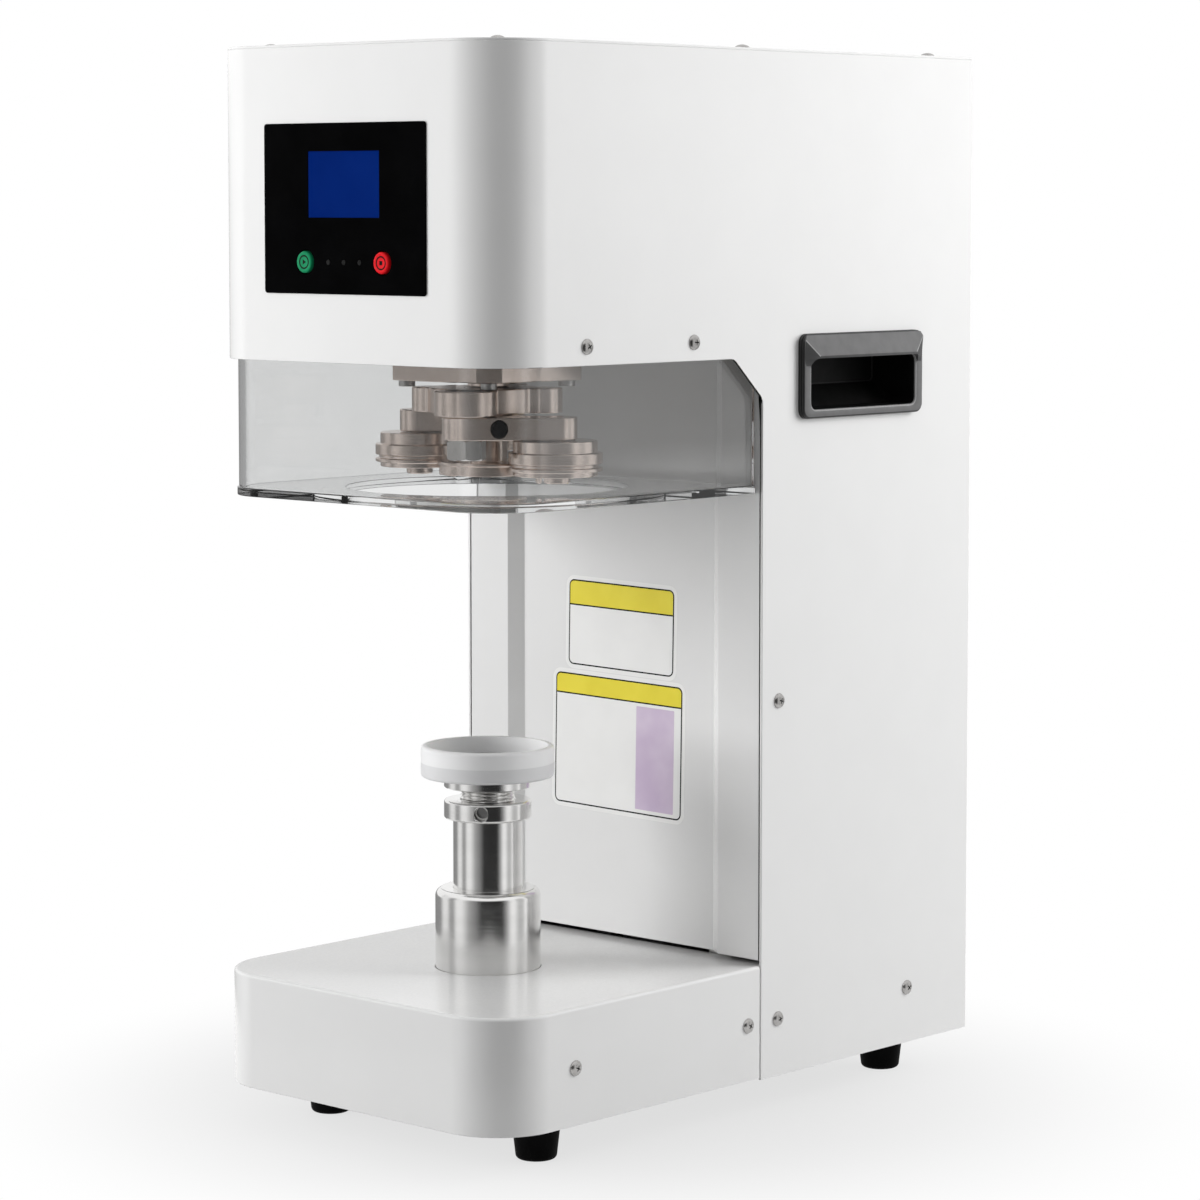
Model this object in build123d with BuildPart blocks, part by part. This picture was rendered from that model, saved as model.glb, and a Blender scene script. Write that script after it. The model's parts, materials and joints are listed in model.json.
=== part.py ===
from build123d import *
from math import atan2, cos, degrees, hypot, radians, sin
import os

os.makedirs("parts", exist_ok=True)

# Housing, in millimetres: +Z up, front towards -Y, resting on Z = 0
WIDTH = 248.0
DEPTH = 434.0
HEIGHT = 650.0
FOOT_HEIGHT = 26.0
BASE_HEIGHT = 69.0
HEAD_HEIGHT = 185.0
COLUMN_FROM_FRONT = 228.0
AXIS_FROM_FRONT = 117.5
CORNER_R = 40.0
SHEET = 1.5
SHEET_GAP = 0.2
SEAM = 1.0
COLUMN_SKIRT = 1.5
CHAMFER_RUN = 27.0
CHAMFER_DROP = 25.0
CHAMFER_R = 8.0
EDGE_R = 2.0
SEAT_GAP = 0.3
RUN_GAP = 0.5
FIT = 0.05
BOLT_CLEARANCE = 0.2

# Base plate, posts, deck and feet
PLATE_T = 6.0
POST = 18.0
POST_WALL = 2.5
POST_FROM_COLUMN = 21.0
DECK_T = 12.0
HEAD_LIP = 5.0
FOOT_TOP_R = 15.0
FOOT_TIP_R = 12.0
FOOT_TIP_CHAMFER = 1.5
FOOT_INSET = 37.0
FOOT_FROM_FRONT = 68.0
FOOT_FROM_REAR = 42.0

# Front panel of the column
STRIP_W = 35.0
JOGGLE_W = 9.0
JOGGLE_D = 6.5
PANEL_GAP = 3.0
PANEL_SIDE_GAP = 0.8
TONGUE = 12.0

# Clear guard
GUARD_INSET = 5.0
GUARD_T = 4.0
GUARD_DROP = 82.0
GUARD_FLOOR_T = 5.0
GUARD_LIP = 1.0
GUARD_HOLE_R = 83.5
GUARD_BACK_GAP = 2.0
GUARD_RISE = 22.0

# Cover screws
SCREW_R = 2.0
SCREW_HEAD_R = 4.0
SCREW_PROUD = 2.4
SCREW_CHAMFER = 0.9
SCREW_L = 5.5
GUARD_SCREW_L = 18.0
GUARD_SCREW_FROM_FRONT = (72.0, 165.0)
BASE_SCREW_FROM_FRONT = (62.0, 216.0)
BASE_SCREW_Z = 34.0
COLUMN_SCREW_FROM_COLUMN = 16.0
COLUMN_SCREW_FROM_REAR = 62.0
COLUMN_SCREW_Z = 230.0
TOP_SCREW_INSET = 13.0
TOP_SCREW_CORNER = 30.0
TOP_SCREW_STEP = 181.0
REAR_SCREW_INSET = 9.0

# Carrying handles
HANDLE_L = 117.6
HANDLE_H = 51.8
HANDLE_R = 6.0
HANDLE_PROUD = 4.5
HANDLE_HOOD = 15.0
HANDLE_RIM = 5.5
HANDLE_SIDE_RIM = 7.5
HANDLE_MOUTH_R = 4.0
HANDLE_DEPTH = 32.0
HANDLE_WALL = 2.5
HANDLE_SHARE = 0.447
HANDLE_FROM_HEAD = 12.4
HOOD_PROUD = 4.0
HOOD_EDGE = 2.0
HOOD_HIP = 11.0
HOOD_LIP = 1.5

# Control panel
PANEL_W = 134.0
PANEL_H = 99.0
PANEL_T = 1.0
PANEL_R = 2.0
PANEL_BELOW_TOP = 95.5
PANEL_MARGIN = 10.0
LCD_W = 59.0
LCD_H = 38.5
LCD_RISE = 14.0
LCD_FRAME = 2.0
LCD_T = 7.0
BUTTON_R = 6.85
BUTTON_X = 32.0
BUTTON_DROP = 31.0
BUTTON_TRAVEL = 1.0
BUTTON_COLLAR = 1.4
LAMP_R = 1.5
LAMP_STEP = 13.0
BOARD_T = 1.6
BOARD_MARGIN = 1.0
SWITCH_R = 5.0
SPACER_R = 3.0

# Power inlet on the rear
INLET_W = 60.0
INLET_H = 32.0
INLET_DEPTH = 24.0
INLET_WALL = 3.0
INLET_X = 62.0
INLET_Z = 110.0
SOCKET_W = 24.0
SOCKET_H = 17.0
SOCKET_DEPTH = 16.0
PIN_W = 2.0
PIN_H = 6.0
PIN_STEP = 7.0
ROCKER_W = 13.0
ROCKER_H = 17.0
ROCKER_T = 5.0
ROCKER_DEPTH = 9.0
ROCKER_PLAY = 1.6
VENT_W = 110.0
VENT_H = 4.0
VENT_STEP = 11.0
VENT_COUNT = 8

# Spindle, bearings and drive
FLANGE = 90.0
FLANGE_CHAMFER = 12.0
FLANGE_DROP = 13.0
BARREL_R = 30.0
BARREL_RISE = 26.0
BEARING_R = 23.5
BEARING_BORE_R = 12.5
BEARING_T = 12.0
BEARING_RING_T = 3.0
BEARING_LIP = 2.0
HOUSING_BOLT_AT = 33.0
HOUSING_BOLT_R = 3.0
HOUSING_BOLT_HEAD_R = 5.0
HOUSING_BOLT_HEAD = 4.0
SPINDLE_BORE_R = 8.06
SPINDLE_COLLAR_R = 15.0
SHAFT_R = 8.0
PULLEY_R = 38.0
MOTOR_PULLEY_R = 24.0
PULLEY_T = 20.0
PULLEY_RIM = 3.0
BELT_DEPTH = 8.0
BELT_GAP = 0.5
BRIDGE_RISE = 74.0
BRIDGE_BAR = 14.0
BRIDGE_SPAN = 124.0
BRIDGE_LEG = 12.0
BRIDGE_W = 30.0
MOTOR_R = 52.0
MOTOR_L = 128.0
MOTOR_PLATE_T = 12.0
MOTOR_SHAFT_R = 7.0

# Seaming head: polar places are (radius, angle) about the seaming axis
CHUCK_R = 28.5
CHUCK_T = 8.0
CHUCK_RIM = 2.0
CHUCK_HUB_R = 13.0
PIVOT_AT = 48.0
PIVOT_ANGLE = -60.0
ROLLER_AT = 60.0
ROLLER_ANGLE = -4.0
NOSE_AT = 28.0
NOSE_ANGLE = -86.0
NOSE_R = 6.0
ARM_SWING = 4.96
CARRIER_SHIFT = 20.0
CAM_GAP = 0.35
CARRIER_T = 15.0
CARRIER_HUB_R = 34.0
CARRIER_LOBE_R = 18.0
CARRIER_EAR_R = 11.0
CARRIER_EAR_AT = 34.0
CARRIER_FILLET = 4.0
SPRING_R = 11.0
SPRING_WIRE = 2.0
SPRING_H = 5.0
ARM_T = 13.5
ARM_HUB_R = 13.5
ARM_END_R = 12.0
ARM_WEB_R = 8.0
ARM_SLOT_W = 1.6
ARM_SLOT_L = 25.0
CLAMP_AT = 18.6
CLAMP_R = 2.5
CLAMP_HEAD_R = 4.8
CLAMP_HEAD = 5.0
CLAMP_L = 22.0
CLAMP_SPOT = 2.0
PIVOT_R = 6.0
PIVOT_HEAD_R = 8.5
PIVOT_HEAD = 4.0
PIVOT_NUT_FLATS = 19.0
PIVOT_NUT = 12.0
ROLLER_R = 27.0
ROLLER_CAP_R = 24.0
ROLLER_GROOVE_R = 24.8
ROLLER_CAP = 7.0
ROLLER_TIP = 3.0
ROLLER_WIDE = 11.0
ROLLER_GROOVE = 2.2
ROLLER_PIN_R = 5.0
ROLLER_PIN_HEAD_R = 8.0
ROLLER_PIN_HEAD = 4.0

# Lift
STANDOFF_H = 30.0
STANDOFF_R = 5.0
STANDOFF_AT = 40.0
GUIDE_R = 32.0
GUIDE_RISE = 48.5
GUIDE_FLANGE_R = 47.0
GUIDE_FLANGE_T = 8.0
GUIDE_FILLET = 5.0
RAM_R = 21.0
RAM_RISE = 42.5
RAM_L = 92.0
RAM_BORE_R = 13.0
RING_R = 26.5
RING_T = 11.5
RING_CHAMFER = 1.0
TOMMY_R = 4.2
TOMMY_ANGLE = -55.0
TOMMY_DEPTH = 8.0
STUD_R = 16.5
STUD_GAP = 7.5
STUD_L = 44.0
DISC_T = 6.5
DISC_R = 26.5
HOLDER_R = 40.5
HOLDER_H = 19.0
HOLDER_FLOOR = 9.0
HOLDER_CHAMFER = 1.2
CAN_R = 36.5
LIFT_SCREW_R = 8.0
LIFT_JOURNAL_R = 6.0
LIFT_NUT_T = 18.0
LIFT_SCREW_TOP = 84.0
BLOCK_R = 20.0
BLOCK_T = 12.0
LIFT_PULLEY_R = 22.0
LIFT_MOTOR_PULLEY_R = 14.0
LIFT_PULLEY_T = 12.0
LIFT_PULLEY_RIM = 1.6
LIFT_BELT_DEPTH = 3.0
LIFT_MOTOR_R = 32.0
LIFT_MOTOR_L = 88.0
LIFT_MOTOR_PLATE = 84.0
LIFT_MOTOR_PLATE_T = 5.0
LIFT_MOTOR_BOLT = 34.0
LIFT_MOTOR_FROM_COLUMN = 64.0
LIFT_SHAFT_R = 5.0

# Derived places
UP = (Align.CENTER, Align.CENTER, Align.MIN)
X_SIDE = WIDTH / 2
X_INNER = X_SIDE - SHEET
Y_FRONT = -DEPTH / 2
Y_REAR = DEPTH / 2
Y_COLUMN = Y_FRONT + COLUMN_FROM_FRONT
AXIS_Y = Y_FRONT + AXIS_FROM_FRONT
Z_BASE = FOOT_HEIGHT + BASE_HEIGHT
Z_HEAD = HEIGHT - HEAD_HEIGHT
Z_WRAP_TOP = HEIGHT - SHEET
Z_COLUMN_FOOT = FOOT_HEIGHT - COLUMN_SKIRT
Z_PLATE = FOOT_HEIGHT + PLATE_T
Z_DECK = Z_HEAD + HEAD_LIP
Z_DECK_TOP = Z_DECK + DECK_T
Z_GUARD = Z_HEAD - GUARD_DROP
Z_GUARD_FLOOR = Z_GUARD + GUARD_FLOOR_T
GUARD_SCREW_Z = Z_DECK + DECK_T / 2
POST_X = X_SIDE - HANDLE_DEPTH - EDGE_R - POST / 2
POST_YS = (Y_COLUMN + POST_FROM_COLUMN, Y_REAR - INLET_DEPTH - EDGE_R - POST / 2)
FOOT_X = X_SIDE - FOOT_INSET
FOOT_YS = (Y_FRONT + FOOT_FROM_FRONT, Y_REAR - FOOT_FROM_REAR)
HANDLE_Y = Y_COLUMN + HANDLE_SHARE * (Y_REAR - Y_COLUMN)
HANDLE_Z = Z_HEAD - HANDLE_FROM_HEAD
Z_PANEL = HEIGHT - PANEL_BELOW_TOP
Z_LCD = Z_PANEL + LCD_RISE
Z_BUTTON = Z_PANEL - BUTTON_DROP
Y_BOARD = Y_FRONT + LCD_T + SEAT_GAP
MOTOR_Y = (Y_COLUMN + JOGGLE_D + Y_REAR) / 2
LIFT_MOTOR_Y = Y_COLUMN + LIFT_MOTOR_FROM_COLUMN
BASE_SCREW_LEVEL = FOOT_HEIGHT + BASE_SCREW_Z
TOP_SCREWS = [
    (side * (X_SIDE - inset), y)
    for side in (-1, 1)
    for inset, y in (
        (TOP_SCREW_CORNER, Y_FRONT + TOP_SCREW_CORNER),
        (TOP_SCREW_INSET, Y_REAR - TOP_SCREW_CORNER - TOP_SCREW_STEP),
        (TOP_SCREW_INSET, Y_REAR - TOP_SCREW_CORNER),
    )
]
COLUMN_SCREWS = (
    (Y_COLUMN + COLUMN_SCREW_FROM_COLUMN, FOOT_HEIGHT + COLUMN_SCREW_Z),
    (Y_COLUMN + COLUMN_SCREW_FROM_COLUMN, BASE_SCREW_LEVEL),
    (Y_REAR - COLUMN_SCREW_FROM_REAR, BASE_SCREW_LEVEL),
)
GUARD_SCREWS = [(Y_FRONT + run, GUARD_SCREW_Z) for run in GUARD_SCREW_FROM_FRONT]
BASE_SCREWS = [(Y_FRONT + run, BASE_SCREW_LEVEL) for run in BASE_SCREW_FROM_FRONT]
REAR_SCREWS = [
    (side * (X_INNER - REAR_SCREW_INSET), z)
    for side in (-1, 1)
    for z in (BASE_SCREW_LEVEL, (FOOT_HEIGHT + HEIGHT) / 2, HEIGHT - TOP_SCREW_CORNER)
]

# Levels of the spindle and the seaming head, all hung from the head
Z_FLANGE = Z_HEAD - FLANGE_DROP
Z_LOW_BEARING = Z_FLANGE + BEARING_LIP
Z_BARREL = Z_DECK_TOP + BARREL_RISE
Z_TOP_BEARING = Z_BARREL - BEARING_LIP - BEARING_T
Z_PULLEY = Z_BARREL + BEARING_LIP
Z_PULLEY_TOP = Z_PULLEY + PULLEY_T
Z_BRIDGE = Z_DECK_TOP + BRIDGE_RISE
Z_CARRIER_TOP = Z_FLANGE - HOUSING_BOLT_HEAD - RUN_GAP
Z_CARRIER = Z_CARRIER_TOP - CARRIER_T
Z_ARM_TOP = Z_CARRIER - RUN_GAP
Z_ARM = Z_ARM_TOP - ARM_T
Z_ROLLER_TOP = Z_ARM - RUN_GAP
Z_ROLLER = Z_ROLLER_TOP - ROLLER_CAP - ROLLER_WIDE - ROLLER_TIP
Z_CHUCK = Z_ROLLER - CHUCK_RIM
Z_CHUCK_TOP = Z_CHUCK + CHUCK_T
Z_SPINDLE = Z_ARM
Z_SPRING = Z_CARRIER_TOP - SPRING_H - RUN_GAP

# Levels of the lift, all stood on the base
Z_GUIDE = Z_PLATE + STANDOFF_H
Z_GUIDE_TOP = Z_BASE + GUIDE_RISE
Z_RAM_TOP = Z_GUIDE_TOP + RAM_RISE
Z_RAM = Z_RAM_TOP - RAM_L
Z_RING_TOP = Z_RAM_TOP + RING_T
Z_DISC = Z_RING_TOP + STUD_GAP
Z_STUD = Z_DISC - STUD_L
Z_STUD_BORE = Z_STUD - STUD_GAP
Z_HOLDER = Z_DISC + DISC_T
Z_BLOCK_TOP = Z_PLATE + BLOCK_T
Z_LIFT_PULLEY = Z_BLOCK_TOP + RUN_GAP
Z_LIFT_PULLEY_TOP = Z_LIFT_PULLEY + LIFT_PULLEY_T

# Places of the seaming head; the second arm is the first one turned by half a turn
PIVOT = (PIVOT_AT * cos(radians(PIVOT_ANGLE)), PIVOT_AT * sin(radians(PIVOT_ANGLE)))
ROLLER = (ROLLER_AT * cos(radians(ROLLER_ANGLE)), ROLLER_AT * sin(radians(ROLLER_ANGLE)))
NOSE = (NOSE_AT * cos(radians(NOSE_ANGLE)), NOSE_AT * sin(radians(NOSE_ANGLE)))
ARM_X = ROLLER[0] - PIVOT[0]
ARM_Y = ROLLER[1] - PIVOT[1]
ARM_L = hypot(ARM_X, ARM_Y)
ARM_ANGLE = degrees(atan2(ARM_Y, ARM_X))
CLAMP = (PIVOT[0] + CLAMP_AT * ARM_X / ARM_L, PIVOT[1] + CLAMP_AT * ARM_Y / ARM_L)
CLAMP_OUT = (ARM_Y / ARM_L, -ARM_X / ARM_L)
CLAMP_FACE = ARM_HUB_R - CLAMP_AT / ARM_L * (ARM_HUB_R - ARM_END_R)
NOSE_LEVER = (NOSE[1] - PIVOT[1], -(NOSE[0] - PIVOT[0]))
NOSE_GAIN = -(NOSE_LEVER[0] * NOSE[0] + NOSE_LEVER[1] * NOSE[1]) / NOSE_AT
CAM_OFFSET = ARM_SWING / CARRIER_SHIFT * NOSE_GAIN
CAM_ANGLE = NOSE_ANGLE + 90
CAM_R = hypot(NOSE_AT, CAM_OFFSET) - NOSE_R - CAM_GAP
AXIS = Plane.XY.offset(0).move(Location((0, AXIS_Y, 0)))
FIRST = AXIS
SECOND = AXIS.rotated((0, 0, 180))

# Wrap-round cover: head front, both sides of head and column
with BuildPart() as main_cover:
    with BuildSketch(Plane.XY.offset(Z_COLUMN_FOOT)) as outer:
        Rectangle(WIDTH, DEPTH)
        fillet(outer.vertices().group_by(Axis.Y)[0], CORNER_R)
    extrude(amount=Z_WRAP_TOP - Z_COLUMN_FOOT)
    with BuildSketch(Plane.XY.offset(Z_COLUMN_FOOT)) as inner:
        with Locations((0, SHEET)):
            Rectangle(2 * X_INNER, DEPTH)
        fillet(inner.vertices().group_by(Axis.Y)[0], CORNER_R - SHEET)
    extrude(amount=Z_WRAP_TOP - Z_COLUMN_FOOT, mode=Mode.SUBTRACT)
    with BuildSketch(Plane.YZ) as bay:
        with BuildLine():
            Polyline(
                (Y_FRONT - SEAM, Z_COLUMN_FOOT - SEAM),
                (Y_COLUMN, Z_COLUMN_FOOT - SEAM),
                (Y_COLUMN, Z_HEAD - CHAMFER_DROP),
                (Y_COLUMN - CHAMFER_RUN, Z_HEAD),
                (Y_FRONT - SEAM, Z_HEAD),
                close=True,
            )
        make_face()
        slope = bay.vertices().filter_by_position(Axis.X, Y_COLUMN - CHAMFER_RUN, Y_COLUMN)
        fillet(slope.filter_by_position(Axis.Y, Z_HEAD - CHAMFER_DROP, Z_HEAD), CHAMFER_R)
    extrude(amount=WIDTH, both=True, mode=Mode.SUBTRACT)
    with BuildSketch(Plane.YZ):
        with Locations((HANDLE_Y, HANDLE_Z)):
            RectangleRounded(HANDLE_L - 2 * HANDLE_WALL, HANDLE_H - 2 * HANDLE_WALL, HANDLE_R)
        with Locations(*GUARD_SCREWS, *COLUMN_SCREWS):
            Circle(SCREW_R + BOLT_CLEARANCE)
    extrude(amount=WIDTH, both=True, mode=Mode.SUBTRACT)
    with BuildSketch(Plane.XZ.offset(-Y_FRONT - SHEET)):
        with Locations((0, Z_PANEL)):
            Rectangle(PANEL_W - 2 * PANEL_MARGIN, PANEL_H - 2 * PANEL_MARGIN)
    extrude(amount=SHEET, mode=Mode.SUBTRACT)
main_cover.part.label = "main_cover"
export_step(main_cover.part, "parts/main_cover.step")

# Flat lid lying on the wrap-round cover
with BuildPart() as top_cover:
    with BuildSketch(Plane.XY.offset(Z_WRAP_TOP)) as lid:
        Rectangle(WIDTH, DEPTH)
        fillet(lid.vertices().group_by(Axis.Y)[0], CORNER_R)
        with Locations(*TOP_SCREWS):
            Circle(SCREW_R + BOLT_CLEARANCE, mode=Mode.SUBTRACT)
    extrude(amount=SHEET)
top_cover.part.label = "top_cover"
export_step(top_cover.part, "parts/top_cover.step")

# Rear sheet between the two sides, with vents and the opening of the power inlet
with BuildPart() as rear_cover:
    with BuildSketch(Plane.XZ.offset(-Y_REAR)):
        with Locations((0, (Z_WRAP_TOP + FOOT_HEIGHT) / 2)):
            Rectangle(2 * (X_INNER - SHEET_GAP), Z_WRAP_TOP - FOOT_HEIGHT)
        with Locations((INLET_X, INLET_Z)):
            Rectangle(
                INLET_W - 2 * INLET_WALL + SEAT_GAP,
                INLET_H - 2 * INLET_WALL + SEAT_GAP,
                mode=Mode.SUBTRACT,
            )
        with Locations((0, Z_HEAD - MOTOR_L / 2)):
            with GridLocations(VENT_W, VENT_STEP, 1, VENT_COUNT):
                SlotOverall(VENT_W, VENT_H, mode=Mode.SUBTRACT)
        with Locations(*REAR_SCREWS):
            Circle(SCREW_R + BOLT_CLEARANCE, mode=Mode.SUBTRACT)
    extrude(amount=SHEET)
rear_cover.part.label = "rear_cover"
export_step(rear_cover.part, "parts/rear_cover.step")

# Base cover: a folded tray upside down, open to the column, its top reaching under the panel
with BuildPart() as base_cover:
    with BuildSketch(Plane.XY.offset(FOOT_HEIGHT)) as tray:
        with Locations((0, (Y_FRONT + Y_COLUMN - SEAM) / 2)):
            Rectangle(WIDTH, COLUMN_FROM_FRONT - SEAM)
        fillet(tray.vertices().group_by(Axis.Y)[0], CORNER_R)
    extrude(amount=BASE_HEIGHT)
    rim = base_cover.faces().sort_by(Axis.Z)[-1].edges()
    fillet(rim.sort_by(Axis.Y)[:-1], EDGE_R)
    with BuildSketch(Plane.XY.offset(FOOT_HEIGHT)) as hollow:
        with Locations((0, (Y_FRONT + Y_COLUMN - SEAM) / 2 + SHEET)):
            Rectangle(2 * X_INNER, COLUMN_FROM_FRONT - SEAM)
        fillet(hollow.vertices().group_by(Axis.Y)[0], CORNER_R - SHEET)
    extrude(amount=BASE_HEIGHT - SHEET, mode=Mode.SUBTRACT)
    with BuildSketch(Plane.XY.offset(Z_BASE - SHEET)):
        with Locations((0, Y_COLUMN - SEAM)):
            Rectangle(2 * (X_INNER - SEAT_GAP), TONGUE, align=(Align.CENTER, Align.MIN))
    extrude(amount=SHEET)
    with Locations((0, AXIS_Y, Z_BASE - 2 * SHEET)):
        Cylinder(GUIDE_R + SEAT_GAP, 3 * SHEET, align=UP, mode=Mode.SUBTRACT)
    with BuildSketch(Plane.YZ):
        with Locations(*BASE_SCREWS):
            Circle(SCREW_R + BOLT_CLEARANCE)
    extrude(amount=WIDTH, both=True, mode=Mode.SUBTRACT)
base_cover.part.label = "base_cover"
export_step(base_cover.part, "parts/base_cover.step")

# Base plate under the whole machine
PLATE_D = DEPTH - 2 * (SHEET + SEAT_GAP)
with BuildPart() as base_plate:
    with BuildSketch(Plane.XY.offset(FOOT_HEIGHT)) as floor:
        Rectangle(2 * (X_INNER - SEAT_GAP), PLATE_D)
        fillet(floor.vertices().group_by(Axis.Y)[0], CORNER_R - SHEET - SEAT_GAP)
        with Locations(*[(side * FOOT_X, y) for side in (-1, 1) for y in FOOT_YS]):
            Circle(HOUSING_BOLT_R, mode=Mode.SUBTRACT)
    extrude(amount=PLATE_T)
base_plate.part.label = "base_plate"
export_step(base_plate.part, "parts/base_plate.step")

# Four tapered feet
with BuildPart() as rubber_feet:
    with Locations(*[(side * FOOT_X, y, 0) for side in (-1, 1) for y in FOOT_YS]):
        Cone(FOOT_TIP_R, FOOT_TOP_R, FOOT_HEIGHT, align=UP)
    chamfer(rubber_feet.faces().group_by(Axis.Z)[0].edges(), FOOT_TIP_CHAMFER)
rubber_feet.part.label = "rubber_feet"
export_step(rubber_feet.part, "parts/rubber_feet.step")

# Four square tubes that carry the deck
with BuildPart() as frame_posts:
    with BuildSketch(Plane.XY.offset(Z_PLATE)):
        with Locations(*[(side * POST_X, y) for side in (-1, 1) for y in POST_YS]):
            Rectangle(POST, POST)
            Rectangle(POST - 2 * POST_WALL, POST - 2 * POST_WALL, mode=Mode.SUBTRACT)
    extrude(amount=Z_DECK - Z_PLATE)
frame_posts.part.label = "frame_posts"
export_step(frame_posts.part, "parts/frame_posts.step")

# Deck: the thick plate that closes the head below and carries spindle and motor
DECK_X = X_SIDE - GUARD_INSET - GUARD_T - SEAT_GAP
DECK_FRONT = Y_FRONT + GUARD_INSET + GUARD_T + SEAT_GAP
DECK_REAR = POST_YS[1] + POST / 2
with BuildPart() as head_deck:
    with BuildSketch(Plane.XY.offset(Z_DECK)) as slab:
        with Locations((0, (DECK_FRONT + DECK_REAR) / 2)):
            Rectangle(2 * DECK_X, DECK_REAR - DECK_FRONT)
        fillet(slab.vertices().group_by(Axis.Y)[0], CORNER_R - GUARD_INSET - GUARD_T - SEAT_GAP)
        with Locations((X_SIDE, HANDLE_Y), (-X_SIDE, HANDLE_Y)):
            Rectangle(2 * (HANDLE_DEPTH + EDGE_R), HANDLE_L + 2 * SEAT_GAP, mode=Mode.SUBTRACT)
        with Locations((0, AXIS_Y)):
            Circle(BARREL_R + SEAT_GAP, mode=Mode.SUBTRACT)
            with GridLocations(2 * HOUSING_BOLT_AT, 2 * HOUSING_BOLT_AT, 2, 2):
                Circle(HOUSING_BOLT_R + BOLT_CLEARANCE, mode=Mode.SUBTRACT)
        with Locations((0, MOTOR_Y)):
            Circle(MOTOR_SHAFT_R + EDGE_R, mode=Mode.SUBTRACT)
    extrude(amount=DECK_T)
    with BuildSketch(Plane.YZ.offset(X_SIDE - GUARD_SCREW_L - EDGE_R)):
        with Locations(*GUARD_SCREWS):
            Circle(SCREW_R + BOLT_CLEARANCE)
    extrude(amount=GUARD_SCREW_L, mode=Mode.SUBTRACT)
    with BuildSketch(Plane.YZ.offset(-X_SIDE + GUARD_SCREW_L + EDGE_R)):
        with Locations(*GUARD_SCREWS):
            Circle(SCREW_R + BOLT_CLEARANCE)
    extrude(amount=-GUARD_SCREW_L, mode=Mode.SUBTRACT)
head_deck.part.label = "head_deck"
export_step(head_deck.part, "parts/head_deck.step")

# Column front: flush strips at the sides, a slanted joggle and a set-back middle
with BuildPart() as column_panel:
    with BuildSketch(Plane.XY.offset(Z_BASE + PANEL_GAP)):
        with BuildLine():
            edge = X_INNER - PANEL_SIDE_GAP
            front = [
                (-edge, Y_COLUMN),
                (-X_SIDE + STRIP_W, Y_COLUMN),
                (-X_SIDE + STRIP_W + JOGGLE_W, Y_COLUMN + JOGGLE_D),
                (X_SIDE - STRIP_W - JOGGLE_W, Y_COLUMN + JOGGLE_D),
                (X_SIDE - STRIP_W, Y_COLUMN),
                (edge, Y_COLUMN),
            ]
            Polyline(*front, *[(x, y + SHEET) for x, y in reversed(front)], close=True)
        make_face()
    extrude(amount=Z_DECK - Z_BASE - PANEL_GAP)
column_panel.part.label = "column_panel"
export_step(column_panel.part, "parts/column_panel.step")

# Clear guard wall hanging inside the head
GUARD_X = X_SIDE - GUARD_INSET
GUARD_FRONT = Y_FRONT + GUARD_INSET
GUARD_BACK = Y_COLUMN - GUARD_BACK_GAP
with BuildPart() as guard_wall:
    with BuildSketch(Plane.XY.offset(Z_GUARD_FLOOR)) as skin:
        with Locations((0, (GUARD_FRONT + GUARD_BACK) / 2)):
            Rectangle(2 * GUARD_X, GUARD_BACK - GUARD_FRONT)
        fillet(skin.vertices().group_by(Axis.Y)[0], CORNER_R - GUARD_INSET)
    extrude(amount=Z_HEAD + GUARD_RISE - Z_GUARD_FLOOR)
    with BuildSketch(Plane.XY.offset(Z_GUARD_FLOOR)) as room:
        with Locations((0, (GUARD_FRONT + GUARD_BACK) / 2 + GUARD_T)):
            Rectangle(2 * (GUARD_X - GUARD_T), GUARD_BACK - GUARD_FRONT)
        fillet(room.vertices().group_by(Axis.Y)[0], CORNER_R - GUARD_INSET - GUARD_T)
    extrude(amount=Z_HEAD + GUARD_RISE - Z_GUARD_FLOOR, mode=Mode.SUBTRACT)
    with BuildSketch(Plane.YZ):
        with Locations(*GUARD_SCREWS):
            Circle(SCREW_R + BOLT_CLEARANCE)
    extrude(amount=WIDTH, both=True, mode=Mode.SUBTRACT)
guard_wall.part.label = "guard_wall"
export_step(guard_wall.part, "parts/guard_wall.step")

# Clear guard floor with the round passage for the can
with BuildPart() as guard_floor:
    with BuildSketch(Plane.XY.offset(Z_GUARD)) as sheet:
        with Locations((0, (GUARD_FRONT - GUARD_LIP + GUARD_BACK) / 2)):
            Rectangle(2 * (GUARD_X + GUARD_LIP), GUARD_BACK - GUARD_FRONT + GUARD_LIP)
        fillet(sheet.vertices().group_by(Axis.Y)[0], CORNER_R - GUARD_INSET + GUARD_LIP)
        with Locations((0, AXIS_Y)):
            Circle(GUARD_HOLE_R, mode=Mode.SUBTRACT)
    extrude(amount=GUARD_FLOOR_T)
guard_floor.part.label = "guard_floor"
export_step(guard_floor.part, "parts/guard_floor.step")

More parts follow.
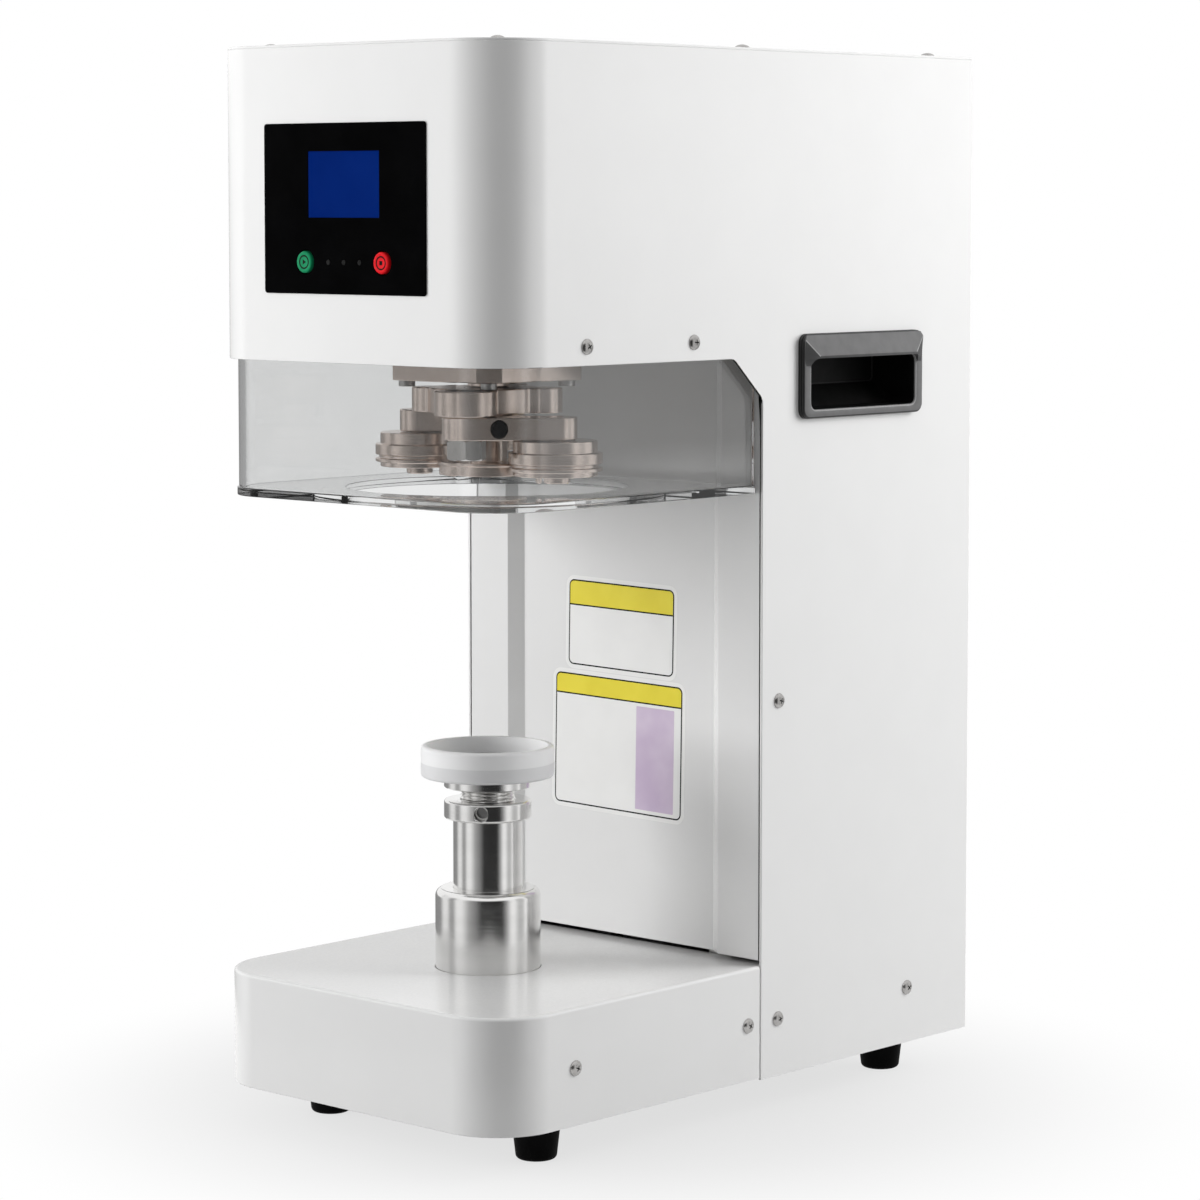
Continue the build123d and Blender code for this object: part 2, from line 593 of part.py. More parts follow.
# Two recessed carrying handles: rim with a hipped hood outside, open pocket inside
POCKET_L = HANDLE_L - 2 * HANDLE_WALL - 2 * SEAT_GAP
POCKET_H = HANDLE_H - 2 * HANDLE_WALL - 2 * SEAT_GAP
MOUTH_H = HANDLE_H - HANDLE_HOOD - HANDLE_RIM
MOUTH_TOP = HANDLE_Z + HANDLE_H / 2 - HANDLE_HOOD
with BuildPart() as carry_handles:
    with BuildSketch(Plane.YZ.offset(X_SIDE)):
        with Locations((HANDLE_Y, HANDLE_Z)):
            RectangleRounded(HANDLE_L, HANDLE_H, HANDLE_R)
    extrude(amount=HANDLE_PROUD)
    with BuildSketch(Plane.YZ.offset(X_SIDE + HANDLE_PROUD)):
        with Locations((HANDLE_Y, MOUTH_TOP)):
            Rectangle(HANDLE_L - 2 * HOOD_EDGE, HANDLE_HOOD - HOOD_EDGE, align=(Align.CENTER, Align.MIN))
    with BuildSketch(Plane.YZ.offset(X_SIDE + HANDLE_PROUD + HOOD_PROUD)):
        with Locations((HANDLE_Y, MOUTH_TOP)):
            Rectangle(HANDLE_L - 2 * HOOD_HIP, HOOD_LIP, align=(Align.CENTER, Align.MIN))
    loft()
    with BuildSketch(Plane.YZ.offset(X_SIDE)):
        with Locations((HANDLE_Y, HANDLE_Z)):
            RectangleRounded(POCKET_L, POCKET_H, HANDLE_R - SEAT_GAP)
    extrude(amount=-HANDLE_DEPTH)
    with BuildSketch(Plane.YZ.offset(X_SIDE)):
        with Locations((HANDLE_Y, HANDLE_Z)):
            Rectangle(POCKET_L - 2 * HANDLE_WALL, POCKET_H - 2 * HANDLE_WALL)
    extrude(amount=HANDLE_WALL - HANDLE_DEPTH, mode=Mode.SUBTRACT)
    with BuildSketch(Plane.YZ.offset(X_SIDE)):
        with Locations((HANDLE_Y, HANDLE_Z - HANDLE_H / 2 + HANDLE_RIM + MOUTH_H / 2)):
            RectangleRounded(HANDLE_L - 2 * HANDLE_SIDE_RIM, MOUTH_H, HANDLE_MOUTH_R)
    extrude(amount=HANDLE_PROUD, mode=Mode.SUBTRACT)
    mirror(about=Plane.YZ)
carry_handles.part.label = "carry_handles"
export_step(carry_handles.part, "parts/carry_handles.step")

# Pan-head screws of the covers and the guard
with BuildPart() as cover_screws:
    for plane, places, length in (
        (Plane.YZ.offset(X_SIDE), COLUMN_SCREWS, SCREW_L),
        (Plane.YZ.offset(X_SIDE), BASE_SCREWS, SCREW_L),
        (Plane.YZ.offset(X_SIDE), GUARD_SCREWS, GUARD_SCREW_L),
    ):
        with BuildSketch(plane):
            with Locations(*places):
                Circle(SCREW_R)
        extrude(amount=-length)
        with BuildSketch(plane):
            with Locations(*places):
                Circle(SCREW_HEAD_R)
        extrude(amount=SCREW_PROUD)
    chamfer(cover_screws.faces().group_by(Axis.X)[-1].edges(), SCREW_CHAMFER)
    mirror(about=Plane.YZ)
    for plane, places in (
        (Plane.XY.offset(HEIGHT), TOP_SCREWS),
        (Plane(origin=(0, Y_REAR, 0), x_dir=(-1, 0, 0), z_dir=(0, 1, 0)), REAR_SCREWS),
    ):
        with BuildSketch(plane):
            with Locations(*places):
                Circle(SCREW_R)
        extrude(amount=-SCREW_L)
        with BuildSketch(plane):
            with Locations(*places):
                Circle(SCREW_HEAD_R)
        extrude(amount=SCREW_PROUD)
    chamfer(cover_screws.faces().group_by(Axis.Z)[-1].edges(), SCREW_CHAMFER)
    chamfer(cover_screws.faces().group_by(Axis.Y)[-1].edges(), SCREW_CHAMFER)
cover_screws.part.label = "cover_screws"
export_step(cover_screws.part, "parts/cover_screws.step")

# Control panel: thin front plate with window, two button holes and lamp holes
LAMPS = [(step * LAMP_STEP, Z_BUTTON) for step in (-1, 0, 1)]
BUTTONS = ((-BUTTON_X, Z_BUTTON), (BUTTON_X, Z_BUTTON))
with BuildPart() as control_panel:
    with BuildSketch(Plane.XZ.offset(-Y_FRONT)):
        with Locations((0, Z_PANEL)):
            RectangleRounded(PANEL_W, PANEL_H, PANEL_R)
        with Locations((0, Z_LCD)):
            Rectangle(LCD_W, LCD_H, mode=Mode.SUBTRACT)
        with Locations(*BUTTONS):
            Circle(BUTTON_R + SEAT_GAP, mode=Mode.SUBTRACT)
        with Locations(*LAMPS):
            Circle(LAMP_R + BOLT_CLEARANCE, mode=Mode.SUBTRACT)
    extrude(amount=PANEL_T)
control_panel.part.label = "control_panel"
export_step(control_panel.part, "parts/control_panel.step")

# Display module: its glass fills the window, its frame lies behind the panel
with BuildPart() as lcd_display:
    with BuildSketch(Plane.XZ.offset(-Y_FRONT)):
        with Locations((0, Z_LCD)):
            Rectangle(LCD_W - 2 * SHEET_GAP, LCD_H - 2 * SHEET_GAP)
    extrude(amount=PANEL_T - SHEET_GAP)
    with BuildSketch(Plane.XZ.offset(-Y_FRONT)):
        with Locations((0, Z_LCD)):
            Rectangle(LCD_W + 2 * LCD_FRAME, LCD_H + 2 * LCD_FRAME)
    extrude(amount=-LCD_T)
lcd_display.part.label = "lcd_display"
export_step(lcd_display.part, "parts/lcd_display.step")

# Three small lamps standing on the board
with BuildPart() as indicator_lamps:
    with BuildSketch(Plane.XZ.offset(-Y_BOARD)):
        with Locations(*LAMPS):
            Circle(LAMP_R)
    extrude(amount=Y_BOARD - Y_FRONT + PANEL_T)
indicator_lamps.part.label = "indicator_lamps"
export_step(indicator_lamps.part, "parts/indicator_lamps.step")

# Control board with corner spacers and the two push switches
SWITCH_TOP = Y_FRONT + LCD_T - BUTTON_TRAVEL
with BuildPart() as control_board:
    with BuildSketch(Plane.XZ.offset(-Y_BOARD)):
        with Locations((0, Z_PANEL)):
            Rectangle(PANEL_W - 2 * BOARD_MARGIN, PANEL_H - 2 * BOARD_MARGIN)
    extrude(amount=-BOARD_T)
    with BuildSketch(Plane.XZ.offset(-Y_BOARD)):
        with Locations((0, Z_PANEL)):
            with GridLocations(PANEL_W - PANEL_MARGIN, PANEL_H - PANEL_MARGIN, 2, 2):
                Circle(SPACER_R)
    extrude(amount=Y_BOARD - Y_FRONT - SHEET)
    with BuildSketch(Plane.XZ.offset(-Y_BOARD)):
        with Locations(*BUTTONS):
            Circle(SWITCH_R)
    extrude(amount=Y_BOARD - SWITCH_TOP)
control_board.part.label = "control_board"
export_step(control_board.part, "parts/control_board.step")

# Push buttons: cap through the panel, collar behind it
with BuildPart() as start_button:
    with BuildSketch(Plane.XZ.offset(-SWITCH_TOP + BUTTON_TRAVEL + SEAT_GAP)):
        with Locations(BUTTONS[0]):
            Circle(BUTTON_R)
    extrude(amount=SWITCH_TOP - BUTTON_TRAVEL - SEAT_GAP - Y_FRONT + SCREW_PROUD)
    with BuildSketch(Plane.XZ.offset(-Y_FRONT - SEAT_GAP)):
        with Locations(BUTTONS[0]):
            Circle(BUTTON_R + BUTTON_COLLAR)
    extrude(amount=-BUTTON_COLLAR)
start_button.part.label = "start_button"
export_step(start_button.part, "parts/start_button.step")

with BuildPart() as stop_button:
    with BuildSketch(Plane.XZ.offset(-SWITCH_TOP + BUTTON_TRAVEL + SEAT_GAP)):
        with Locations(BUTTONS[1]):
            Circle(BUTTON_R)
    extrude(amount=SWITCH_TOP - BUTTON_TRAVEL - SEAT_GAP - Y_FRONT + SCREW_PROUD)
    with BuildSketch(Plane.XZ.offset(-Y_FRONT - SEAT_GAP)):
        with Locations(BUTTONS[1]):
            Circle(BUTTON_R + BUTTON_COLLAR)
    extrude(amount=-BUTTON_COLLAR)
stop_button.part.label = "stop_button"
export_step(stop_button.part, "parts/stop_button.step")

# Power inlet: socket with three pins and a well for the rocker
SOCKET_X = INLET_X - INLET_W / 4 + INLET_WALL
WELL_X = INLET_X + INLET_W / 4 + INLET_WALL / 2
REAR = Plane(origin=(0, Y_REAR, 0), x_dir=(1, 0, 0), z_dir=(0, -1, 0))
with BuildPart() as power_inlet:
    with BuildSketch(REAR):
        with Locations((INLET_X, INLET_Z)):
            RectangleRounded(INLET_W, INLET_H, INLET_WALL)
    extrude(amount=-SCREW_PROUD)
    with BuildSketch(REAR):
        with Locations((INLET_X, INLET_Z)):
            Rectangle(INLET_W - 2 * INLET_WALL, INLET_H - 2 * INLET_WALL)
    extrude(amount=INLET_DEPTH)
    with BuildSketch(REAR.offset(-SCREW_PROUD)):
        with Locations((SOCKET_X, INLET_Z)):
            Rectangle(SOCKET_W, SOCKET_H)
    extrude(amount=SOCKET_DEPTH + SCREW_PROUD, mode=Mode.SUBTRACT)
    with BuildSketch(REAR.offset(-SCREW_PROUD)):
        with Locations((WELL_X, INLET_Z)):
            Rectangle(ROCKER_W + ROCKER_PLAY, ROCKER_H + 2 * ROCKER_PLAY)
    extrude(amount=ROCKER_DEPTH + SCREW_PROUD, mode=Mode.SUBTRACT)
    with BuildSketch(REAR.offset(SOCKET_DEPTH)):
        with Locations(*[(SOCKET_X + step * PIN_STEP, INLET_Z) for step in (-1, 0, 1)]):
            Rectangle(PIN_W, PIN_H)
    extrude(amount=-SOCKET_DEPTH)
power_inlet.part.label = "power_inlet"
export_step(power_inlet.part, "parts/power_inlet.step")

# Rocker of the power switch
with BuildPart() as power_rocker:
    with BuildSketch(REAR.offset(-SCREW_PROUD / 2)):
        with Locations((WELL_X, INLET_Z)):
            Rectangle(ROCKER_W, ROCKER_H)
    extrude(amount=ROCKER_T)
power_rocker.part.label = "power_rocker"
export_step(power_rocker.part, "parts/power_rocker.step")

# Bearing housing: square flange under the deck, barrel through it
with BuildPart() as bearing_housing:
    with BuildSketch(AXIS.offset(Z_FLANGE)) as square:
        Rectangle(FLANGE, FLANGE)
        chamfer(square.vertices(), FLANGE_CHAMFER)
    extrude(amount=Z_DECK - Z_FLANGE)
    with BuildSketch(AXIS.offset(Z_DECK)):
        Circle(BARREL_R)
    extrude(amount=Z_BARREL - Z_DECK)
    with BuildSketch(AXIS.offset(Z_FLANGE)):
        Circle(BEARING_R - BEARING_RING_T)
    extrude(amount=Z_BARREL - Z_FLANGE, mode=Mode.SUBTRACT)
    with BuildSketch(AXIS.offset(Z_FLANGE)):
        Circle(BEARING_R + FIT)
    extrude(amount=BEARING_LIP + BEARING_T, mode=Mode.SUBTRACT)
    with BuildSketch(AXIS.offset(Z_TOP_BEARING)):
        Circle(BEARING_R + FIT)
    extrude(amount=Z_BARREL - Z_TOP_BEARING, mode=Mode.SUBTRACT)
    with BuildSketch(AXIS.offset(Z_FLANGE)):
        with GridLocations(2 * HOUSING_BOLT_AT, 2 * HOUSING_BOLT_AT, 2, 2):
            Circle(HOUSING_BOLT_R + BOLT_CLEARANCE)
    extrude(amount=Z_DECK - Z_FLANGE, mode=Mode.SUBTRACT)
bearing_housing.part.label = "bearing_housing"
export_step(bearing_housing.part, "parts/bearing_housing.step")

# Four low-head bolts that hold the housing to the deck
with BuildPart() as housing_bolts:
    with BuildSketch(AXIS.offset(Z_FLANGE)):
        with GridLocations(2 * HOUSING_BOLT_AT, 2 * HOUSING_BOLT_AT, 2, 2):
            Circle(HOUSING_BOLT_HEAD_R)
    extrude(amount=-HOUSING_BOLT_HEAD)
    with BuildSketch(AXIS.offset(Z_FLANGE)):
        with GridLocations(2 * HOUSING_BOLT_AT, 2 * HOUSING_BOLT_AT, 2, 2):
            Circle(HOUSING_BOLT_R)
    extrude(amount=Z_DECK_TOP - Z_FLANGE)
housing_bolts.part.label = "housing_bolts"
export_step(housing_bolts.part, "parts/housing_bolts.step")

# Sealed ball bearings: outer rings with their shields, and inner rings
SHIELD_R = BEARING_BORE_R + BEARING_RING_T
with BuildPart() as bearing_outer_rings:
    for level in (Z_LOW_BEARING, Z_TOP_BEARING):
        with BuildSketch(AXIS.offset(level)):
            Circle(BEARING_R)
            Circle(SHIELD_R + BOLT_CLEARANCE, mode=Mode.SUBTRACT)
        extrude(amount=BEARING_T)
        with BuildSketch(AXIS.offset(level + BEARING_RING_T / 2)):
            Circle(BEARING_R - BEARING_RING_T)
        extrude(amount=BEARING_T - BEARING_RING_T, mode=Mode.SUBTRACT)
bearing_outer_rings.part.label = "bearing_outer_rings"
export_step(bearing_outer_rings.part, "parts/bearing_outer_rings.step")

with BuildPart() as bearing_inner_rings:
    for level in (Z_LOW_BEARING, Z_TOP_BEARING):
        with BuildSketch(AXIS.offset(level)):
            Circle(SHIELD_R)
            Circle(BEARING_BORE_R, mode=Mode.SUBTRACT)
        extrude(amount=BEARING_T)
bearing_inner_rings.part.label = "bearing_inner_rings"
export_step(bearing_inner_rings.part, "parts/bearing_inner_rings.step")

# Hollow spindle with the collar that the lower bearing sits on
SPINDLE_R = BEARING_BORE_R - FIT
with BuildPart() as spindle:
    with BuildSketch(AXIS.offset(Z_SPINDLE)):
        Circle(SPINDLE_R)
    extrude(amount=Z_PULLEY_TOP + BEARING_LIP - Z_SPINDLE)
    with BuildSketch(AXIS.offset(Z_CARRIER_TOP + RUN_GAP)):
        Circle(SPINDLE_COLLAR_R)
    extrude(amount=Z_LOW_BEARING - Z_CARRIER_TOP - RUN_GAP)
    with BuildSketch(AXIS.offset(Z_SPINDLE)):
        Circle(SPINDLE_BORE_R)
    extrude(amount=Z_PULLEY_TOP + BEARING_LIP - Z_SPINDLE, mode=Mode.SUBTRACT)
spindle.part.label = "spindle"
export_step(spindle.part, "parts/spindle.step")

# Belt pulley of the spindle
with BuildPart() as spindle_pulley:
    with BuildSketch(AXIS.offset(Z_PULLEY)):
        Circle(PULLEY_R)
    extrude(amount=PULLEY_T)
    with BuildSketch(AXIS.offset(Z_PULLEY + PULLEY_RIM)):
        Circle(PULLEY_R)
        Circle(PULLEY_R - BELT_DEPTH, mode=Mode.SUBTRACT)
    extrude(amount=PULLEY_T - 2 * PULLEY_RIM, mode=Mode.SUBTRACT)
    with BuildSketch(AXIS.offset(Z_PULLEY)):
        Circle(BEARING_BORE_R)
    extrude(amount=PULLEY_T, mode=Mode.SUBTRACT)
spindle_pulley.part.label = "spindle_pulley"
export_step(spindle_pulley.part, "parts/spindle_pulley.step")

# Drive motor hanging under the deck in the column, its shaft and pulley
MOTOR = Plane.XY.move(Location((0, MOTOR_Y, 0)))
Z_MOTOR = Z_DECK - MOTOR_PLATE_T - MOTOR_L
Z_ROTOR = Z_DECK - MOTOR_L / 2
with BuildPart() as drive_motor:
    with BuildSketch(MOTOR.offset(Z_MOTOR)):
        Circle(MOTOR_R)
    extrude(amount=MOTOR_L)
    with BuildSketch(MOTOR.offset(Z_DECK - MOTOR_PLATE_T)):
        RectangleRounded(2 * MOTOR_R, 2 * MOTOR_R, CHAMFER_R)
    extrude(amount=MOTOR_PLATE_T)
    with BuildSketch(MOTOR.offset(Z_ROTOR - RUN_GAP)):
        Circle(MOTOR_SHAFT_R + FIT)
    extrude(amount=Z_DECK - Z_ROTOR + RUN_GAP, mode=Mode.SUBTRACT)
drive_motor.part.label = "drive_motor"
export_step(drive_motor.part, "parts/drive_motor.step")

with BuildPart() as motor_shaft:
    with BuildSketch(MOTOR.offset(Z_ROTOR)):
        Circle(MOTOR_SHAFT_R)
    extrude(amount=Z_PULLEY_TOP + BEARING_LIP - Z_ROTOR)
motor_shaft.part.label = "motor_shaft"
export_step(motor_shaft.part, "parts/motor_shaft.step")

with BuildPart() as motor_pulley:
    with BuildSketch(MOTOR.offset(Z_PULLEY)):
        Circle(MOTOR_PULLEY_R)
    extrude(amount=PULLEY_T)
    with BuildSketch(MOTOR.offset(Z_PULLEY + PULLEY_RIM)):
        Circle(MOTOR_PULLEY_R)
        Circle(MOTOR_PULLEY_R - BELT_DEPTH, mode=Mode.SUBTRACT)
    extrude(amount=PULLEY_T - 2 * PULLEY_RIM, mode=Mode.SUBTRACT)
    with BuildSketch(MOTOR.offset(Z_PULLEY)):
        Circle(MOTOR_SHAFT_R + FIT)
    extrude(amount=PULLEY_T, mode=Mode.SUBTRACT)
motor_pulley.part.label = "motor_pulley"
export_step(motor_pulley.part, "parts/motor_pulley.step")

# Drive belt round both pulleys
BELT_INNER = BELT_DEPTH - BELT_GAP
with BuildPart() as drive_belt:
    with BuildSketch(Plane.XY.offset(Z_PULLEY + PULLEY_RIM + BELT_GAP)):
        with Locations((0, AXIS_Y)):
            Circle(PULLEY_R)
        with Locations((0, MOTOR_Y)):
            Circle(MOTOR_PULLEY_R)
        make_hull()
    extrude(amount=PULLEY_T - 2 * PULLEY_RIM - 2 * BELT_GAP)
    with BuildSketch(Plane.XY.offset(Z_PULLEY + PULLEY_RIM + BELT_GAP)):
        with Locations((0, AXIS_Y)):
            Circle(PULLEY_R - BELT_INNER)
        with Locations((0, MOTOR_Y)):
            Circle(MOTOR_PULLEY_R - BELT_INNER)
        make_hull()
    extrude(amount=PULLEY_T - 2 * PULLEY_RIM - 2 * BELT_GAP, mode=Mode.SUBTRACT)
drive_belt.part.label = "drive_belt"
export_step(drive_belt.part, "parts/drive_belt.step")

# Fixed chuck shaft through the spindle, the bridge that holds it and the chuck
with BuildPart() as chuck_shaft:
    with BuildSketch(AXIS.offset(Z_CHUCK_TOP)):
        Circle(SHAFT_R)
    extrude(amount=Z_BRIDGE + BRIDGE_BAR - Z_CHUCK_TOP)
chuck_shaft.part.label = "chuck_shaft"
export_step(chuck_shaft.part, "parts/chuck_shaft.step")

with BuildPart() as shaft_bracket:
    with BuildSketch(AXIS.offset(Z_BRIDGE)):
        Rectangle(BRIDGE_SPAN, BRIDGE_W)
        Circle(SHAFT_R + FIT, mode=Mode.SUBTRACT)
    extrude(amount=BRIDGE_BAR)
    with BuildSketch(AXIS.offset(Z_DECK_TOP)):
        with GridLocations(BRIDGE_SPAN - BRIDGE_LEG, 0, 2, 1):
            Rectangle(BRIDGE_LEG, BRIDGE_W)
    extrude(amount=BRIDGE_RISE)
shaft_bracket.part.label = "shaft_bracket"
export_step(shaft_bracket.part, "parts/shaft_bracket.step")

with BuildPart() as chuck:
    with BuildSketch(AXIS.offset(Z_CHUCK)):
        Circle(CHUCK_R - CHUCK_RIM / 2)
    extrude(amount=CHUCK_T - CHUCK_RIM)
    with BuildSketch(AXIS.offset(Z_CHUCK_TOP - CHUCK_RIM)):
        Circle(CHUCK_R)
    extrude(amount=CHUCK_RIM)
    with BuildSketch(AXIS.offset(Z_CHUCK_TOP)):
        Circle(CHUCK_HUB_R)
        Circle(SHAFT_R + FIT, mode=Mode.SUBTRACT)
    extrude(amount=Z_SPINDLE - RUN_GAP - Z_CHUCK_TOP)
chuck.part.label = "chuck"
export_step(chuck.part, "parts/chuck.step")

# Seaming cam: an eccentric disc on the spindle between the two arm noses
with BuildPart() as seaming_cam:
    with BuildSketch(AXIS.offset(Z_ARM)):
        with Locations((CAM_OFFSET * cos(radians(CAM_ANGLE)), CAM_OFFSET * sin(radians(CAM_ANGLE)))):
            Circle(CAM_R)
        Circle(BEARING_BORE_R, mode=Mode.SUBTRACT)
    extrude(amount=ARM_T)
seaming_cam.part.label = "seaming_cam"
export_step(seaming_cam.part, "parts/seaming_cam.step")

# Lobed carrier that floats on the spindle and holds both arm pivots
with BuildPart() as roller_carrier:
    with BuildSketch(AXIS.offset(Z_CARRIER)) as lobes:
        with Locations(Location((0, 0), PIVOT_ANGLE)):
            Circle(CARRIER_HUB_R)
        with Locations(
            Location(PIVOT, PIVOT_ANGLE + 180),
            Location((-PIVOT[0], -PIVOT[1]), PIVOT_ANGLE),
        ):
            Circle(CARRIER_LOBE_R)
        with PolarLocations(CARRIER_EAR_AT, 2, start_angle=PIVOT_ANGLE + 90):
            with Locations(Location((0, 0), 180)):
                Circle(CARRIER_EAR_R)
        fillet(lobes.vertices(), CARRIER_FILLET)
    extrude(amount=CARRIER_T)
    with BuildSketch(AXIS.offset(Z_CARRIER)):
        Circle(BEARING_BORE_R)
        with Locations(PIVOT, (-PIVOT[0], -PIVOT[1])):
            Circle(PIVOT_R + FIT)
    extrude(amount=CARRIER_T, mode=Mode.SUBTRACT)
    with BuildSketch(AXIS.offset(Z_SPRING)):
        with Locations(PIVOT, (-PIVOT[0], -PIVOT[1])):
            Circle(SPRING_R + SEAT_GAP)
    extrude(amount=CARRIER_T, mode=Mode.SUBTRACT)
roller_carrier.part.label = "roller_carrier"
export_step(roller_carrier.part, "parts/roller_carrier.step")

# Return springs in the lobe pockets, round the pivot heads
with BuildPart() as return_springs:
    with BuildSketch(AXIS.offset(Z_SPRING)):
        with Locations(PIVOT, (-PIVOT[0], -PIVOT[1])):
            Circle(SPRING_R)
            Circle(SPRING_R - SPRING_WIRE, mode=Mode.SUBTRACT)
    extrude(amount=SPRING_H)
return_springs.part.label = "return_springs"
export_step(return_springs.part, "parts/return_springs.step")

# Swing arms: clamped pivot hub, roller end and the nose that rides on the cam
with BuildPart() as first_arm:
    with BuildSketch(FIRST.offset(Z_ARM)):
        with Locations(PIVOT):
            Circle(ARM_HUB_R)
        with Locations(ROLLER):
            Circle(ARM_END_R)
        make_hull()
    extrude(amount=ARM_T)
    with BuildSketch(FIRST.offset(Z_ARM)):
        with Locations(PIVOT):
            Circle(ARM_WEB_R)
        with Locations(NOSE):
            Circle(NOSE_R)
        make_hull()
    extrude(amount=ARM_T)
    with BuildSketch(FIRST.offset(Z_ARM)):
        with Locations(PIVOT):
            Circle(PIVOT_R + FIT)
        with Locations(ROLLER):
            Circle(ROLLER_PIN_R + FIT)
        with Locations(Location(PIVOT, ARM_ANGLE)):
            Rectangle(ARM_SLOT_L, ARM_SLOT_W, align=(Align.MIN, Align.CENTER))
    extrude(amount=ARM_T, mode=Mode.SUBTRACT)
    clamp_plane = Plane(
        origin=(CLAMP[0], AXIS_Y + CLAMP[1], Z_ARM + ARM_T / 2),
        x_dir=(0, 0, 1),
        z_dir=(CLAMP_OUT[0], CLAMP_OUT[1], 0),
    )
    with BuildSketch(clamp_plane.offset(CLAMP_FACE - CLAMP_SPOT - CLAMP_L)):
        Circle(CLAMP_R + BOLT_CLEARANCE)
    extrude(amount=CLAMP_L, mode=Mode.SUBTRACT)
    with BuildSketch(clamp_plane.offset(CLAMP_FACE - CLAMP_SPOT)):
        Circle(CLAMP_HEAD_R + BOLT_CLEARANCE)
    extrude(amount=CLAMP_HEAD, mode=Mode.SUBTRACT)
first_arm.part.label = "first_arm"
export_step(first_arm.part, "parts/first_arm.step")

with BuildPart() as second_arm:
    with BuildSketch(SECOND.offset(Z_ARM)):
        with Locations(PIVOT):
            Circle(ARM_HUB_R)
        with Locations(ROLLER):
            Circle(ARM_END_R)
        make_hull()
    extrude(amount=ARM_T)
    with BuildSketch(SECOND.offset(Z_ARM)):
        with Locations(PIVOT):
            Circle(ARM_WEB_R)
        with Locations(NOSE):
            Circle(NOSE_R)
        make_hull()
    extrude(amount=ARM_T)
    with BuildSketch(SECOND.offset(Z_ARM)):
        with Locations(PIVOT):
            Circle(PIVOT_R + FIT)
        with Locations(ROLLER):
            Circle(ROLLER_PIN_R + FIT)
        with Locations(Location(PIVOT, ARM_ANGLE)):
            Rectangle(ARM_SLOT_L, ARM_SLOT_W, align=(Align.MIN, Align.CENTER))
    extrude(amount=ARM_T, mode=Mode.SUBTRACT)
    back_clamp_plane = Plane(
        origin=(-CLAMP[0], AXIS_Y - CLAMP[1], Z_ARM + ARM_T / 2),
        x_dir=(0, 0, 1),
        z_dir=(-CLAMP_OUT[0], -CLAMP_OUT[1], 0),
    )
    with BuildSketch(back_clamp_plane.offset(CLAMP_FACE - CLAMP_SPOT - CLAMP_L)):
        Circle(CLAMP_R + BOLT_CLEARANCE)
    extrude(amount=CLAMP_L, mode=Mode.SUBTRACT)
    with BuildSketch(back_clamp_plane.offset(CLAMP_FACE - CLAMP_SPOT)):
        Circle(CLAMP_HEAD_R + BOLT_CLEARANCE)
    extrude(amount=CLAMP_HEAD, mode=Mode.SUBTRACT)
second_arm.part.label = "second_arm"
export_step(second_arm.part, "parts/second_arm.step")

# Clamp screws across the split of each hub
with BuildPart() as first_clamp_screw:
    with BuildSketch(clamp_plane.offset(CLAMP_FACE - CLAMP_SPOT)):
        Circle(CLAMP_R)
    extrude(amount=RUN_GAP - CLAMP_L)
    with BuildSketch(clamp_plane.offset(CLAMP_FACE - CLAMP_SPOT)):
        Circle(CLAMP_HEAD_R)
    extrude(amount=CLAMP_HEAD)
first_clamp_screw.part.label = "first_clamp_screw"
export_step(first_clamp_screw.part, "parts/first_clamp_screw.step")

with BuildPart() as second_clamp_screw:
    with BuildSketch(back_clamp_plane.offset(CLAMP_FACE - CLAMP_SPOT)):
        Circle(CLAMP_R)
    extrude(amount=RUN_GAP - CLAMP_L)
    with BuildSketch(back_clamp_plane.offset(CLAMP_FACE - CLAMP_SPOT)):
        Circle(CLAMP_HEAD_R)
    extrude(amount=CLAMP_HEAD)
second_clamp_screw.part.label = "second_clamp_screw"
export_step(second_clamp_screw.part, "parts/second_clamp_screw.step")

# Pins of each arm: pivot with its hex nut, and the headed roller pin
Z_NUT = Z_ARM - PIVOT_NUT
with BuildPart() as first_pins:
    with BuildSketch(FIRST.offset(Z_NUT)):
        with Locations(PIVOT):
            RegularPolygon(PIVOT_NUT_FLATS / 2, 6, major_radius=False)
    extrude(amount=PIVOT_NUT)
    with BuildSketch(FIRST.offset(Z_ARM)):
        with Locations(PIVOT):
            Circle(PIVOT_R)
    extrude(amount=Z_SPRING - Z_ARM)
    with BuildSketch(FIRST.offset(Z_SPRING)):
        with Locations(PIVOT):
            Circle(PIVOT_HEAD_R)
    extrude(amount=PIVOT_HEAD)
    with BuildSketch(FIRST.offset(Z_ROLLER - RUN_GAP)):
        with Locations(ROLLER):
            Circle(ROLLER_PIN_R)
    extrude(amount=Z_ARM_TOP - Z_ROLLER + RUN_GAP)
    with BuildSketch(FIRST.offset(Z_ROLLER - RUN_GAP)):
        with Locations(ROLLER):
            Circle(ROLLER_PIN_HEAD_R)
    extrude(amount=-ROLLER_PIN_HEAD)
first_pins.part.label = "first_pins"
export_step(first_pins.part, "parts/first_pins.step")

